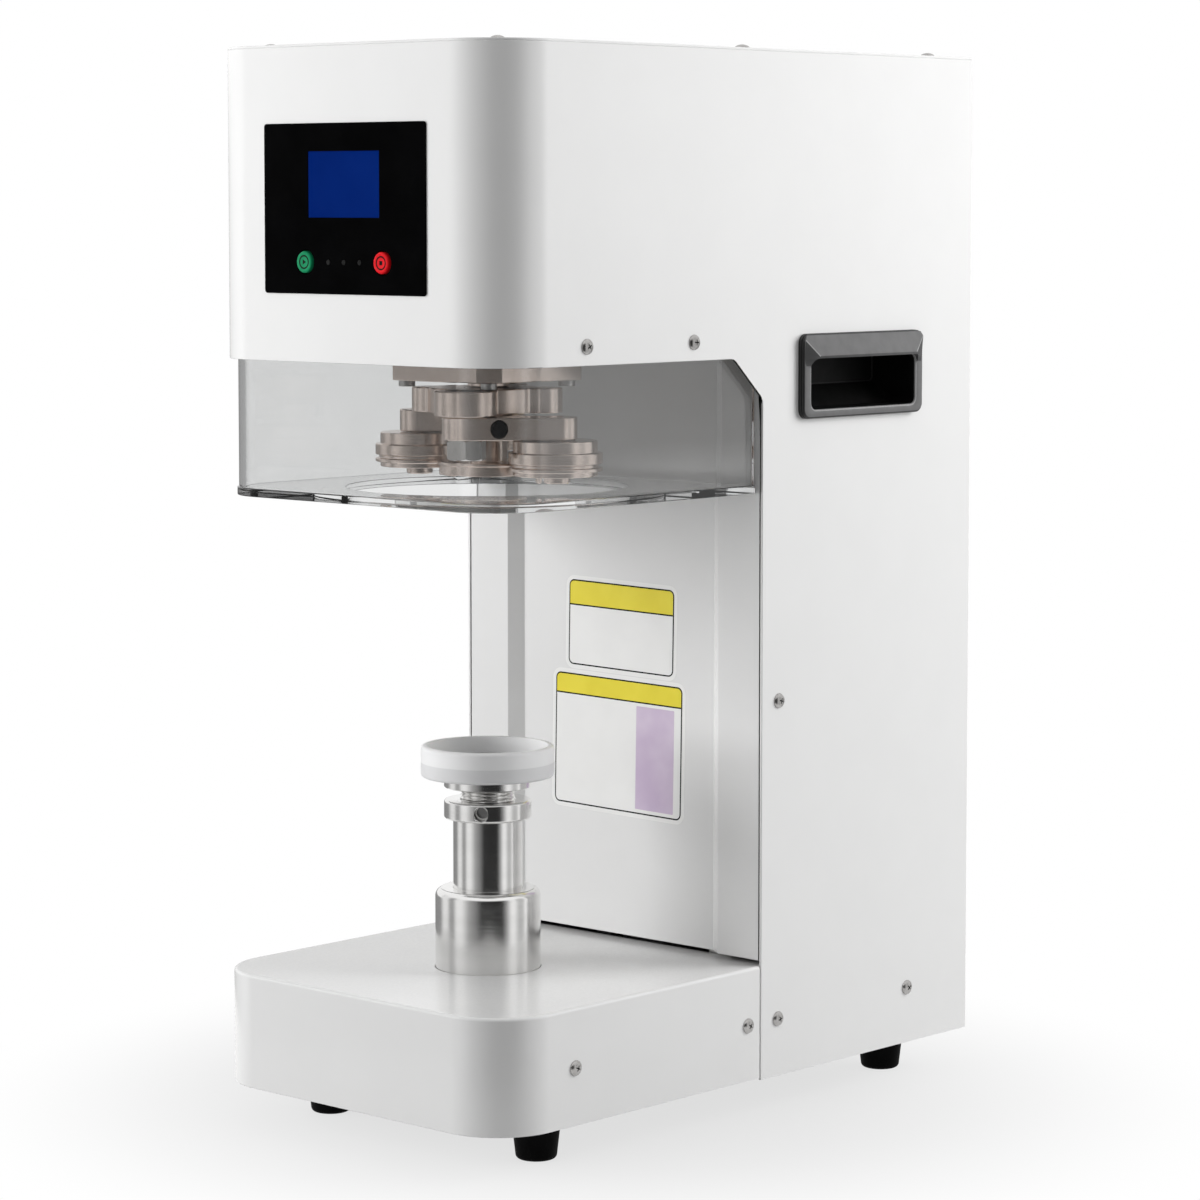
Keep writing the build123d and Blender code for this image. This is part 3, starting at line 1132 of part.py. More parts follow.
with BuildPart() as second_pins:
    with BuildSketch(SECOND.offset(Z_NUT)):
        with Locations(PIVOT):
            RegularPolygon(PIVOT_NUT_FLATS / 2, 6, major_radius=False)
    extrude(amount=PIVOT_NUT)
    with BuildSketch(SECOND.offset(Z_ARM)):
        with Locations(PIVOT):
            Circle(PIVOT_R)
    extrude(amount=Z_SPRING - Z_ARM)
    with BuildSketch(SECOND.offset(Z_SPRING)):
        with Locations(PIVOT):
            Circle(PIVOT_HEAD_R)
    extrude(amount=PIVOT_HEAD)
    with BuildSketch(SECOND.offset(Z_ROLLER - RUN_GAP)):
        with Locations(ROLLER):
            Circle(ROLLER_PIN_R)
    extrude(amount=Z_ARM_TOP - Z_ROLLER + RUN_GAP)
    with BuildSketch(SECOND.offset(Z_ROLLER - RUN_GAP)):
        with Locations(ROLLER):
            Circle(ROLLER_PIN_HEAD_R)
    extrude(amount=-ROLLER_PIN_HEAD)
second_pins.part.label = "second_pins"
export_step(second_pins.part, "parts/second_pins.step")

# Seaming rollers: stepped discs with the forming groove
ROLLER_STEPS = (
    (ROLLER_CAP_R, Z_ROLLER, ROLLER_TIP),
    (ROLLER_R, Z_ROLLER + ROLLER_TIP, ROLLER_GROOVE),
    (ROLLER_GROOVE_R, Z_ROLLER + ROLLER_TIP + ROLLER_GROOVE, ROLLER_GROOVE),
    (ROLLER_R, Z_ROLLER + ROLLER_TIP + 2 * ROLLER_GROOVE, ROLLER_WIDE - 2 * ROLLER_GROOVE),
    (ROLLER_CAP_R, Z_ROLLER + ROLLER_TIP + ROLLER_WIDE, ROLLER_CAP),
)
with BuildPart() as first_roller:
    for radius, level, height in ROLLER_STEPS:
        with BuildSketch(FIRST.offset(level)):
            with Locations(ROLLER):
                Circle(radius)
        extrude(amount=height)
    with BuildSketch(FIRST.offset(Z_ROLLER)):
        with Locations(ROLLER):
            Circle(ROLLER_PIN_R + FIT)
    extrude(amount=Z_ROLLER_TOP - Z_ROLLER, mode=Mode.SUBTRACT)
first_roller.part.label = "first_roller"
export_step(first_roller.part, "parts/first_roller.step")

with BuildPart() as second_roller:
    for radius, level, height in ROLLER_STEPS:
        with BuildSketch(SECOND.offset(level)):
            with Locations(ROLLER):
                Circle(radius)
        extrude(amount=height)
    with BuildSketch(SECOND.offset(Z_ROLLER)):
        with Locations(ROLLER):
            Circle(ROLLER_PIN_R + FIT)
    extrude(amount=Z_ROLLER_TOP - Z_ROLLER, mode=Mode.SUBTRACT)
second_roller.part.label = "second_roller"
export_step(second_roller.part, "parts/second_roller.step")

# Lift guide: flanged sleeve that comes up through the base cover
with BuildPart() as lift_guide:
    with BuildSketch(AXIS.offset(Z_GUIDE)):
        Circle(GUIDE_FLANGE_R)
    extrude(amount=GUIDE_FLANGE_T)
    with BuildSketch(AXIS.offset(Z_GUIDE)):
        Circle(GUIDE_R)
    extrude(amount=Z_GUIDE_TOP - Z_GUIDE)
    fillet(lift_guide.faces().sort_by(Axis.Z)[-1].edges(), GUIDE_FILLET)
    with BuildSketch(AXIS.offset(Z_GUIDE)):
        Circle(RAM_R + FIT)
    extrude(amount=Z_GUIDE_TOP - Z_GUIDE, mode=Mode.SUBTRACT)
lift_guide.part.label = "lift_guide"
export_step(lift_guide.part, "parts/lift_guide.step")

# Standoffs under the lift guide and the lift motor
LIFT_MOTOR = Plane.XY.move(Location((0, LIFT_MOTOR_Y, 0)))
with BuildPart() as lift_standoffs:
    with BuildSketch(AXIS.offset(Z_PLATE)):
        with PolarLocations(STANDOFF_AT, 4):
            Circle(STANDOFF_R)
    extrude(amount=STANDOFF_H)
    with BuildSketch(LIFT_MOTOR.offset(Z_PLATE)):
        with GridLocations(2 * LIFT_MOTOR_BOLT, 2 * LIFT_MOTOR_BOLT, 2, 2):
            Circle(STANDOFF_R)
    extrude(amount=STANDOFF_H)
lift_standoffs.part.label = "lift_standoffs"
export_step(lift_standoffs.part, "parts/lift_standoffs.step")

# Bearing block of the lift screw on the base plate
with BuildPart() as screw_bearing:
    with BuildSketch(AXIS.offset(Z_PLATE)):
        Circle(BLOCK_R)
        Circle(LIFT_JOURNAL_R + FIT, mode=Mode.SUBTRACT)
    extrude(amount=BLOCK_T)
screw_bearing.part.label = "screw_bearing"
export_step(screw_bearing.part, "parts/screw_bearing.step")

# Lift screw standing in the block, and its belt pulley
with BuildPart() as lift_screw:
    with BuildSketch(AXIS.offset(Z_PLATE + RUN_GAP)):
        Circle(LIFT_JOURNAL_R)
    extrude(amount=BLOCK_T)
    with BuildSketch(AXIS.offset(Z_LIFT_PULLEY)):
        Circle(LIFT_SCREW_R)
    extrude(amount=Z_PLATE + LIFT_SCREW_TOP - Z_LIFT_PULLEY)
lift_screw.part.label = "lift_screw"
export_step(lift_screw.part, "parts/lift_screw.step")

with BuildPart() as screw_pulley:
    with BuildSketch(AXIS.offset(Z_LIFT_PULLEY)):
        Circle(LIFT_PULLEY_R + LIFT_BELT_DEPTH)
    extrude(amount=LIFT_PULLEY_T)
    with BuildSketch(AXIS.offset(Z_LIFT_PULLEY + LIFT_PULLEY_RIM)):
        Circle(LIFT_PULLEY_R + LIFT_BELT_DEPTH)
        Circle(LIFT_PULLEY_R, mode=Mode.SUBTRACT)
    extrude(amount=LIFT_PULLEY_T - 2 * LIFT_PULLEY_RIM, mode=Mode.SUBTRACT)
    with BuildSketch(AXIS.offset(Z_LIFT_PULLEY)):
        Circle(LIFT_SCREW_R + FIT)
    extrude(amount=LIFT_PULLEY_T, mode=Mode.SUBTRACT)
screw_pulley.part.label = "screw_pulley"
export_step(screw_pulley.part, "parts/screw_pulley.step")

# Lift motor on its standoffs, shaft down, with the small pulley
Z_LIFT_MOTOR = Z_GUIDE + LIFT_MOTOR_PLATE_T
with BuildPart() as lift_motor:
    with BuildSketch(LIFT_MOTOR.offset(Z_GUIDE)):
        RectangleRounded(LIFT_MOTOR_PLATE, LIFT_MOTOR_PLATE, CHAMFER_R)
    extrude(amount=LIFT_MOTOR_PLATE_T)
    with BuildSketch(LIFT_MOTOR.offset(Z_LIFT_MOTOR)):
        Circle(LIFT_MOTOR_R)
    extrude(amount=LIFT_MOTOR_L)
    with BuildSketch(LIFT_MOTOR.offset(Z_GUIDE)):
        Circle(LIFT_SHAFT_R + FIT)
    extrude(amount=LIFT_MOTOR_L / 2, mode=Mode.SUBTRACT)
lift_motor.part.label = "lift_motor"
export_step(lift_motor.part, "parts/lift_motor.step")

with BuildPart() as lift_motor_pulley:
    with BuildSketch(LIFT_MOTOR.offset(Z_LIFT_PULLEY)):
        Circle(LIFT_MOTOR_PULLEY_R + LIFT_BELT_DEPTH)
    extrude(amount=LIFT_PULLEY_T)
    with BuildSketch(LIFT_MOTOR.offset(Z_LIFT_PULLEY + LIFT_PULLEY_RIM)):
        Circle(LIFT_MOTOR_PULLEY_R + LIFT_BELT_DEPTH)
        Circle(LIFT_MOTOR_PULLEY_R, mode=Mode.SUBTRACT)
    extrude(amount=LIFT_PULLEY_T - 2 * LIFT_PULLEY_RIM, mode=Mode.SUBTRACT)
    with BuildSketch(LIFT_MOTOR.offset(Z_LIFT_PULLEY_TOP)):
        Circle(LIFT_SHAFT_R)
    extrude(amount=Z_GUIDE + LIFT_MOTOR_L / 2 - RUN_GAP - Z_LIFT_PULLEY_TOP)
lift_motor_pulley.part.label = "lift_motor_pulley"
export_step(lift_motor_pulley.part, "parts/lift_motor_pulley.step")

# Toothed belt of the lift
with BuildPart() as lift_belt:
    with BuildSketch(Plane.XY.offset(Z_LIFT_PULLEY + LIFT_PULLEY_RIM + BELT_GAP)):
        with Locations((0, AXIS_Y)):
            Circle(LIFT_PULLEY_R + LIFT_BELT_DEPTH)
        with Locations((0, LIFT_MOTOR_Y)):
            Circle(LIFT_MOTOR_PULLEY_R + LIFT_BELT_DEPTH)
        make_hull()
    extrude(amount=LIFT_PULLEY_T - 2 * LIFT_PULLEY_RIM - 2 * BELT_GAP)
    with BuildSketch(Plane.XY.offset(Z_LIFT_PULLEY + LIFT_PULLEY_RIM + BELT_GAP)):
        with Locations((0, AXIS_Y)):
            Circle(LIFT_PULLEY_R + BELT_GAP)
        with Locations((0, LIFT_MOTOR_Y)):
            Circle(LIFT_MOTOR_PULLEY_R + BELT_GAP)
        make_hull()
    extrude(amount=LIFT_PULLEY_T - 2 * LIFT_PULLEY_RIM - 2 * BELT_GAP, mode=Mode.SUBTRACT)
lift_belt.part.label = "lift_belt"
export_step(lift_belt.part, "parts/lift_belt.step")

# Hollow lift ram and the nut in its lower end
with BuildPart() as lift_ram:
    with BuildSketch(AXIS.offset(Z_RAM)):
        Circle(RAM_R)
    extrude(amount=RAM_L)
    with BuildSketch(AXIS.offset(Z_RAM)):
        Circle(RAM_BORE_R)
    extrude(amount=RAM_L, mode=Mode.SUBTRACT)
    with BuildSketch(AXIS.offset(Z_STUD_BORE)):
        Circle(STUD_R + FIT)
    extrude(amount=Z_RAM_TOP - Z_STUD_BORE, mode=Mode.SUBTRACT)
lift_ram.part.label = "lift_ram"
export_step(lift_ram.part, "parts/lift_ram.step")

with BuildPart() as lift_nut:
    with BuildSketch(AXIS.offset(Z_RAM)):
        Circle(RAM_BORE_R - FIT)
        Circle(LIFT_SCREW_R + FIT, mode=Mode.SUBTRACT)
    extrude(amount=LIFT_NUT_T)
lift_nut.part.label = "lift_nut"
export_step(lift_nut.part, "parts/lift_nut.step")

# Adjusting ring nut with its tommy hole
with BuildPart() as adjusting_nut:
    with BuildSketch(AXIS.offset(Z_RAM_TOP)):
        Circle(RING_R)
    extrude(amount=RING_T)
    chamfer(adjusting_nut.faces().group_by(Axis.Z)[-1].edges(), RING_CHAMFER)
    chamfer(adjusting_nut.faces().group_by(Axis.Z)[0].edges(), RING_CHAMFER)
    with BuildSketch(AXIS.offset(Z_RAM_TOP)):
        Circle(STUD_R + FIT)
    extrude(amount=RING_T, mode=Mode.SUBTRACT)
    tommy_plane = Plane(
        origin=(0, AXIS_Y, Z_RAM_TOP + RING_T / 2),
        x_dir=(0, 0, 1),
        z_dir=(cos(radians(TOMMY_ANGLE)), sin(radians(TOMMY_ANGLE)), 0),
    )
    with BuildSketch(tommy_plane.offset(RING_R - TOMMY_DEPTH)):
        Circle(TOMMY_R)
    extrude(amount=TOMMY_DEPTH, mode=Mode.SUBTRACT)
adjusting_nut.part.label = "adjusting_nut"
export_step(adjusting_nut.part, "parts/adjusting_nut.step")

# Seat: disc on the threaded stud
with BuildPart() as can_seat:
    with BuildSketch(AXIS.offset(Z_STUD)):
        Circle(STUD_R)
    extrude(amount=STUD_L)
    with BuildSketch(AXIS.offset(Z_DISC)):
        Circle(DISC_R)
    extrude(amount=DISC_T)
    chamfer(can_seat.faces().group_by(Axis.Z)[-1].edges(), RING_CHAMFER)
can_seat.part.label = "can_seat"
export_step(can_seat.part, "parts/can_seat.step")

# Lift-off holder cup for the can
with BuildPart() as can_holder:
    with BuildSketch(AXIS.offset(Z_HOLDER)):
        Circle(HOLDER_R)
    extrude(amount=HOLDER_H)
    chamfer(can_holder.edges(), HOLDER_CHAMFER)
    with BuildSketch(AXIS.offset(Z_HOLDER + HOLDER_FLOOR)):
        Circle(CAN_R)
    extrude(amount=HOLDER_H - HOLDER_FLOOR, mode=Mode.SUBTRACT)
can_holder.part.label = "can_holder"
export_step(can_holder.part, "parts/can_holder.step")
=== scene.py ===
# %% [markdown]
# # A bench can seamer, dressed in Blender
# The solids of the machine come in as a fixed frame, in metres, and nothing in that frame moves.
# A solid that already has its shape gets softened edges and a finish. What the solids leave plain,
# such as cross recesses, a thread or a hooded handle, is built new and set on the same frame.

# %% Load the frame
import json
import math

import bmesh
import bpy
from mathutils import Matrix, Vector


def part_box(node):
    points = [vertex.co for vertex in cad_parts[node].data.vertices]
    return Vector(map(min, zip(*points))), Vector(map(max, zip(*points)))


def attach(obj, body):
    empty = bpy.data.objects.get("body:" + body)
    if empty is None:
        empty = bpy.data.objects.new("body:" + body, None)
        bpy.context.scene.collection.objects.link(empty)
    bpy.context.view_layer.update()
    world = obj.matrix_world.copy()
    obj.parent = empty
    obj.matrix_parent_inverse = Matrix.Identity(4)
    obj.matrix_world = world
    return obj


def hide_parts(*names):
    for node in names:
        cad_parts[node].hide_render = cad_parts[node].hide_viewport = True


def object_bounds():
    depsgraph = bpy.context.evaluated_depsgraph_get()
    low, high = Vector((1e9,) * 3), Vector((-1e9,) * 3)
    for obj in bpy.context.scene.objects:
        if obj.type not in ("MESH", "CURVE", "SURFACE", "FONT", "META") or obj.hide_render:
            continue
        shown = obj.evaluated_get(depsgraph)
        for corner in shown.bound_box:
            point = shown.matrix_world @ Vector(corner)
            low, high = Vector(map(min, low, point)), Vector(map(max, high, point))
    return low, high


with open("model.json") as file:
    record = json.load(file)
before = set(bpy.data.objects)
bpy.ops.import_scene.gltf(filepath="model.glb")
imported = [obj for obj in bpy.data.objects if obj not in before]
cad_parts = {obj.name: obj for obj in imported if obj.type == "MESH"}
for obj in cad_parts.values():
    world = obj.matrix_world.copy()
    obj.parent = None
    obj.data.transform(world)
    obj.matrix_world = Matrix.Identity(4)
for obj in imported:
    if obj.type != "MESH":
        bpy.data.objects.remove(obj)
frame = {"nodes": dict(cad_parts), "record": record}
cad_low, cad_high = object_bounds()
MM = 0.001
print("CAD box in mm", [round(v / MM, 1) for v in (*cad_low, *cad_high)])

# %% [markdown]
# Every node of the frame rides on one body and names one finish. Both are looked up so often that
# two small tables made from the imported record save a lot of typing.

# %% Who rides on what, and who wears which finish
record = frame["record"]
body_of = {node: body for body, nodes in record["behaviour"]["bodies"].items() for node in nodes}
slot_of = {entry["node"]: entry["material_slot"] for entry in record["subparts"]}

# %% [markdown]
# Finishes, screws and studio are all node trees, and a script that builds those gets wordy. One helper
# adds a node with its settings. The other writes its inputs, or links those that come from a node.

# %% Helpers for node trees
def feed(tree, taker, inputs):
    """Set inputs of a node: plain values are written, sockets are linked, a list links them all."""
    for key, value in inputs.items():
        socket = taker.inputs[key]
        for one in value if isinstance(value, list) else [value]:
            if isinstance(one, bpy.types.NodeSocket):
                tree.links.new(one, socket)
            else:
                socket.default_value = one


def add_node(tree, kind, inputs=None, **settings):
    """A new node with its own settings, its inputs fed."""
    made = tree.nodes.new(kind)
    for word, value in settings.items():
        setattr(made, word, value)
    feed(tree, made, inputs or {})
    return made


def result(tree, kind, inputs, **settings):
    """The first output of a new node."""
    return add_node(tree, kind, inputs, **settings).outputs[0]


print("nodes can be added and fed")

# %% [markdown]
# ## Finishes
# A finish here is paint, plating or plastic as the eye meets it: a colour that drifts a little, a
# gloss that drifts a little, and a fine relief. All three come from noise on Object coordinates, so
# they stay put when the piece moves. One function lays down that common ground.

# %% The common ground of every finish
finishes = {}
SPECULAR = "Specular IOR Level"
EVEN = (1, 1, 1)


def drift(tree, place, scale, detail, stretch):
    """Noise on the piece's own coordinates, stretched along chosen axes."""
    moved = result(tree, "ShaderNodeMapping", {"Vector": place, "Scale": stretch})
    return result(tree, "ShaderNodeTexNoise", {"Vector": moved, "Scale": scale, "Detail": detail})


def grey(level):
    return (level, level, level)


def finish(name, dark, light, rough, metal=0.0, patch=30, grain=900, height=0.0, stretch=EVEN, more=None):
    """Colour between dark and light, roughness between two values, relief of a given height in mm."""
    material = bpy.data.materials.new(name)
    material.use_nodes = True
    tree = material.node_tree
    place = add_node(tree, "ShaderNodeTexCoord").outputs["Object"]
    ramp = add_node(tree, "ShaderNodeValToRGB", {"Fac": drift(tree, place, patch, 3, stretch)})
    for stop, position, colour in zip(ramp.color_ramp.elements, (0.35, 0.65), (dark, light)):
        stop.position = position
        stop.color = (*colour, 1)
    fine = drift(tree, place, grain, 2, stretch)
    span = {"From Min": 0.3, "From Max": 0.7, "To Min": rough[0], "To Max": rough[1]}
    gloss = result(tree, "ShaderNodeMapRange", {"Value": fine, **span})
    look = {"Base Color": ramp.outputs["Color"], "Metallic": metal, "Roughness": gloss, **(more or {})}
    if height:
        relief = {"Height": fine, "Distance": height * MM, "Strength": 1.0}
        look["Normal"] = result(tree, "ShaderNodeBump", relief)
    feed(tree, tree.nodes["Principled BSDF"], look)
    finishes[name] = material


print("finishes need a name, two colours and a roughness")

# %% [markdown]
# The covers wear white powder coat. It is baked dust, so it has a soft orange peel about a
# millimetre wide, and enough gloss to show a blurred image of what stands on it.

# %% Powder coat
LACQUER = {"Coat Weight": 0.25, "Coat Roughness": 0.12}
WHITES = (0.80, 0.80, 0.797), (0.81, 0.81, 0.807)
finish("powder_white", *WHITES, (0.20, 0.27), grain=700, height=0.006, more=LACQUER)
print("white coat ready")

# %% [markdown]
# Steel off a lathe carries rings around its axis. The noise is squeezed along Z and pulled wide
# across, so its grain runs in rings on every upright turned piece. Rollers are ground finer.

# %% Turned and ground steel
RINGS = (0.02, 0.02, 1.0)
finish("turned_steel", (0.78, 0.775, 0.765), (0.86, 0.855, 0.845), (0.14, 0.21), 1.0, 60, 2600, 0.003, RINGS)
finish("roller_steel", (0.70, 0.60, 0.54), (0.78, 0.68, 0.62), (0.16, 0.23), 1.0, 60, 3200, 0, RINGS)
finish("bright_screw", (0.42, 0.41, 0.40), (0.50, 0.49, 0.48), (0.24, 0.32), 1.0, 300, 2400)
# painted shade: near black for the inside of the cross recess
finish("screw_recess_shade", grey(0.010), grey(0.020), (0.50, 0.60), 0.0, 300, 2400)
print("steel ready")

# %% [markdown]
# The seaming head is nickel plated over a milled face: warmer and duller than bare steel. The frame
# inside is zinc plated sheet, and the housings are castings with a coarse skin.

# %% Plated and cast metal
finish("head_nickel", (0.68, 0.58, 0.52), (0.76, 0.66, 0.60), (0.20, 0.27), 1.0, 70, 1600)
finish("plated_steel", (0.52, 0.53, 0.53), (0.62, 0.62, 0.60), (0.30, 0.44), 1.0, 90, 500, 0.006)
finish("cast_aluminium", (0.46, 0.45, 0.44), (0.56, 0.55, 0.54), (0.36, 0.50), 1.0, 60, 700, 0.03)
finish("bronze", (0.44, 0.27, 0.12), (0.55, 0.36, 0.17), (0.24, 0.36), 1.0, 60, 1800, 0.006, RINGS)
finish("black_oxide", (0.018, 0.018, 0.02), (0.035, 0.034, 0.035), (0.26, 0.38), 0.6, 80, 1800, 0.004)
finish("polished_nut", (0.66, 0.64, 0.62), (0.72, 0.70, 0.68), (0.07, 0.12), 1.0, 200, 1600)
print("plated and cast metal ready")

# %% [markdown]
# Black mouldings have a fine spark-eroded grain that turns them grey in a raking light. Rubber is
# duller still. The front foil is the opposite: a polished black film over the keys.

# %% Black plastic, rubber and foil
finish("black_plastic", (0.012, 0.012, 0.0125), (0.018, 0.018, 0.0185), (0.34, 0.46), 0.0, 120, 1500, 0.02)
finish("handle_plastic", (0.115, 0.115, 0.116), (0.135, 0.135, 0.136), (0.36, 0.46), 0.0, 120, 1500, 0.02)
# painted shadow: near black for the cut edges round the bay, in place of the shadow gap there
finish("painted_shadow_edge", grey(0.008), grey(0.016), (0.45, 0.60), 0.0, 90, 900)
# painted highlight: light grey for the edge of the handle's mouth and the ridges of its hips
finish("handle_edge", (0.28, 0.28, 0.281), (0.32, 0.32, 0.321), (0.24, 0.32), 0.0, 120, 1500)
# painted shade: darker grey for the hip faces of the hood, also used on the lip
finish("handle_hip", (0.040, 0.040, 0.041), (0.050, 0.050, 0.051), (0.36, 0.46), 0.0, 120, 1500, 0.02)
# painted shade: near black, with little reflection, for the inside of the handle's pocket
finish("handle_pocket", grey(0.005), grey(0.008), (0.40, 0.50), 0.0, 120, 1500, more={SPECULAR: 0.12})
finish("black_rubber", grey(0.003), grey(0.006), (0.50, 0.66), 0.0, 90, 1100, 0.03, more={SPECULAR: 0.03})
FOILS = (0.0012, 0.0012, 0.0013), (0.0020, 0.0020, 0.0022)
GLASSY = {SPECULAR: 0.012}
finish("panel_black", *FOILS, (0.12, 0.20), 0.0, 40, 200, more=GLASSY)
print("black finishes ready")

# %% [markdown]
# The guard is clear acrylic: it bends light like glass and takes a faint cool tint at its cut edges.
# The can holder is natural plastic, milky enough to glow a little where light goes through it.

# %% Clear and milky plastic
CLEAR = {"Transmission Weight": 1.0, "IOR": 1.49}
finish("clear_acrylic", (0.83, 0.835, 0.835), (0.85, 0.855, 0.855), (0.0, 0.015), patch=20, more=CLEAR)
MILKY = {"Transmission Weight": 0.04, "Subsurface Weight": 0.25, "Subsurface Radius": (0.01, 0.01, 0.01)}
MILKS = (0.89, 0.893, 0.897), (0.92, 0.923, 0.927)
finish("frosted_white", *MILKS, (0.32, 0.46), height=0.008, more=MILKY)
print("clear and milky plastic ready")

# %% [markdown]
# The wall of the cup is thin and its floor is solid, so on the real one a level line shows where the
# floor begins: less light comes through the solid part. That shade is painted here: height on Object
# coordinates darkens the solid half.

# %% Painted shade on the solid half of the cup
CUP_FLOOR, SOFT = 9.0 * MM, 0.3 * MM
tree = finishes["frosted_white"].node_tree
where = tree.nodes["Texture Coordinate"].outputs["Object"]
floor_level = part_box("can_holder")[0].z + CUP_FLOOR
span = {"From Min": floor_level - SOFT, "From Max": floor_level + SOFT, "To Min": 1.0, "To Max": 0.0}
height = add_node(tree, "ShaderNodeSeparateXYZ", {"Vector": where}).outputs["Z"]
solid = result(tree, "ShaderNodeMapRange", {"Value": height, **span})
FACTOR, COLOUR_A, COLOUR_B, MIXED = 0, 6, 7, 2
milk = tree.nodes["Color Ramp"].outputs["Color"]
# painted shade: below the floor level the milky colour is multiplied by a grey
painted_shade_mix = {FACTOR: solid, COLOUR_A: milk, COLOUR_B: (0.84, 0.84, 0.845, 1)}
deep = add_node(tree, "ShaderNodeMix", painted_shade_mix, data_type="RGBA", blend_type="MULTIPLY").outputs[MIXED]
feed(tree, tree.nodes["Principled BSDF"], {"Base Color": deep})
print("cup floor at", round(floor_level / MM, 1), "mm")

# %% [markdown]
# The small coloured parts: the display glass, the two caps, the lamps, the board, and the films of
# the stickers. Each keeps a slight unevenness, because moulded and printed colour is never flat.

# %% Display, caps, lamps, board and films
finish("display_blue", (0.0, 0.013, 0.130), (0.001, 0.018, 0.160), (0.12, 0.20), 0.0, 18, 120, more=GLASSY)
for name, dark, light in (
    ("button_green", (0.003, 0.225, 0.090), (0.005, 0.270, 0.110)),
    ("button_red", (0.66, 0.003, 0.008), (0.76, 0.005, 0.012)),
    ("lamp_clear", grey(0.006), grey(0.011)),
):
    finish(name, dark, light, (0.28, 0.38), patch=160, height=0.004, more={SPECULAR: 0.15})
finish("board_green", (0.006, 0.06, 0.025), (0.010, 0.10, 0.04), (0.35, 0.5), patch=220, height=0.004)
FILM_GLOSS = (0.30, 0.40)
finish("film_white", (0.85, 0.85, 0.84), (0.87, 0.87, 0.86), FILM_GLOSS, patch=50, grain=400)
finish("film_yellow", (0.79, 0.67, 0.042), (0.83, 0.71, 0.052), FILM_GLOSS, patch=50, grain=400)
finish("film_lilac", (0.58, 0.47, 0.63), (0.72, 0.63, 0.75), FILM_GLOSS, patch=24, grain=400)
finish("film_black", grey(0.004), grey(0.008), FILM_GLOSS, patch=50, grain=400, more={SPECULAR: 0.1})
print(len(finishes), "finishes")

# %% [markdown]
# All CAD nodes get their finish first, so that even what is hidden inside is never left bare.

# %% Dress every CAD node
for node, solid in frame["nodes"].items():
    solid.data.materials.clear()
    solid.data.materials.append(finishes[slot_of[node]])
print("dressed", len(frame["nodes"]), "nodes")

# %% [markdown]
# ## Pieces
# A piece is a plain mesh in its finish that rides on a body of the frame, and it may stand for CAD
# nodes, which are then not shown. These helpers see to that, so later cells only deal with shape.

# %% Helpers that make a finished piece
TIP_WELD, WELD, LEVEL, BAND = 0.001 * MM, 0.002 * MM, 0.01 * MM, 0.05 * MM


def settle(obj):
    """Turn the modified object into a plain mesh, so nothing stays live on it."""
    plain = bpy.data.meshes.new_from_object(obj.evaluated_get(bpy.context.evaluated_depsgraph_get()))
    obj.modifiers.clear()
    obj.data = plain
    plain.name = obj.name
    return obj


def placed(name, data):
    """A new object in the scene."""
    obj = bpy.data.objects.new(name, data)
    bpy.context.collection.objects.link(obj)
    return obj


def stand_in(obj, body, *nodes):
    """Set the piece on its body and let it stand for the named nodes."""
    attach(obj, body)
    if nodes:
        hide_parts(*nodes)
    return obj


def joined(*shapes):
    """One bmesh out of several."""
    whole = bmesh.new()
    for shape in shapes:
        carrier = bpy.data.meshes.new("part")
        shape.to_mesh(carrier)
        shape.free()
        whole.from_mesh(carrier)
        bpy.data.meshes.remove(carrier)
    return whole


def new_piece(name, bm, slot, sharp=35, look=None):
    """An object from a bmesh, smooth up to an angle, in its slot's finish or in a look of its own."""
    mesh = bpy.data.meshes.new(name)
    bm.to_mesh(mesh)
    bm.free()
    mesh.materials.append(finishes[look or slot])
    mesh.shade_smooth()
    mesh.set_sharp_from_angle(angle=math.radians(sharp))
    obj = placed(name, mesh)
    return obj if slot in slot_of.values() else obj


print("welding points closer than", WELD / MM, "mm")

# %% [markdown]
# ## Softened copies
# Real edges are never knife sharp: a bent sheet, a milled arm and a turned ring all catch a thin
# line of light. A copy of the node is merged, its flat triangles are joined, and a Bevel modifier
# rounds what is sharper than a chosen angle. Weighted normals keep the flat faces flat.

# %% Softening
def round_edges(obj, width, segments=2, angle=32):
    """Bevel the sharp edges and weigh the normals by face area."""
    bevel = obj.modifiers.new("edge", "BEVEL")
    bevel.width = width * MM
    bevel.segments = segments
    bevel.limit_method = "ANGLE"
    bevel.angle_limit = math.radians(angle)
    bevel.use_clamp_overlap = False
    weigh = obj.modifiers.new("weigh", "WEIGHTED_NORMAL")
    weigh.keep_sharp = True
    return settle(obj)


def softened(node, width, segments=2, angle=32, shoulder=0.0):
    """A copy of a CAD node with rounded edges, standing for that node; its upper outer edge more so."""
    bm = bmesh.new()
    bm.from_mesh(frame["nodes"][node].data)
    bmesh.ops.remove_doubles(bm, verts=bm.verts, dist=WELD)
    bmesh.ops.dissolve_limit(bm, angle_limit=math.radians(0.2), verts=bm.verts, edges=bm.edges)
    if shoulder:
        top = max(v.co.z for v in bm.verts)
        crown = [v for v in bm.verts if top - v.co.z < LEVEL]
        middle = sum((v.co for v in crown), Vector()) / len(crown)
        reach = max((v.co - middle).length for v in crown)
        rim = [v for v in crown if reach - (v.co - middle).length < BAND]
        edges = [e for e in bm.edges if all(v in rim for v in e.verts)]
        bmesh.ops.bevel(bm, geom=edges, offset=shoulder * MM, segments=5, affect="EDGES", profile=0.5)
    obj = new_piece(node + "_dressed", bm, slot_of[node], sharp=60)
    round_edges(obj, width, segments, angle)
    return stand_in(obj, body_of[node], node)


print("pieces can be softened and set on a body")
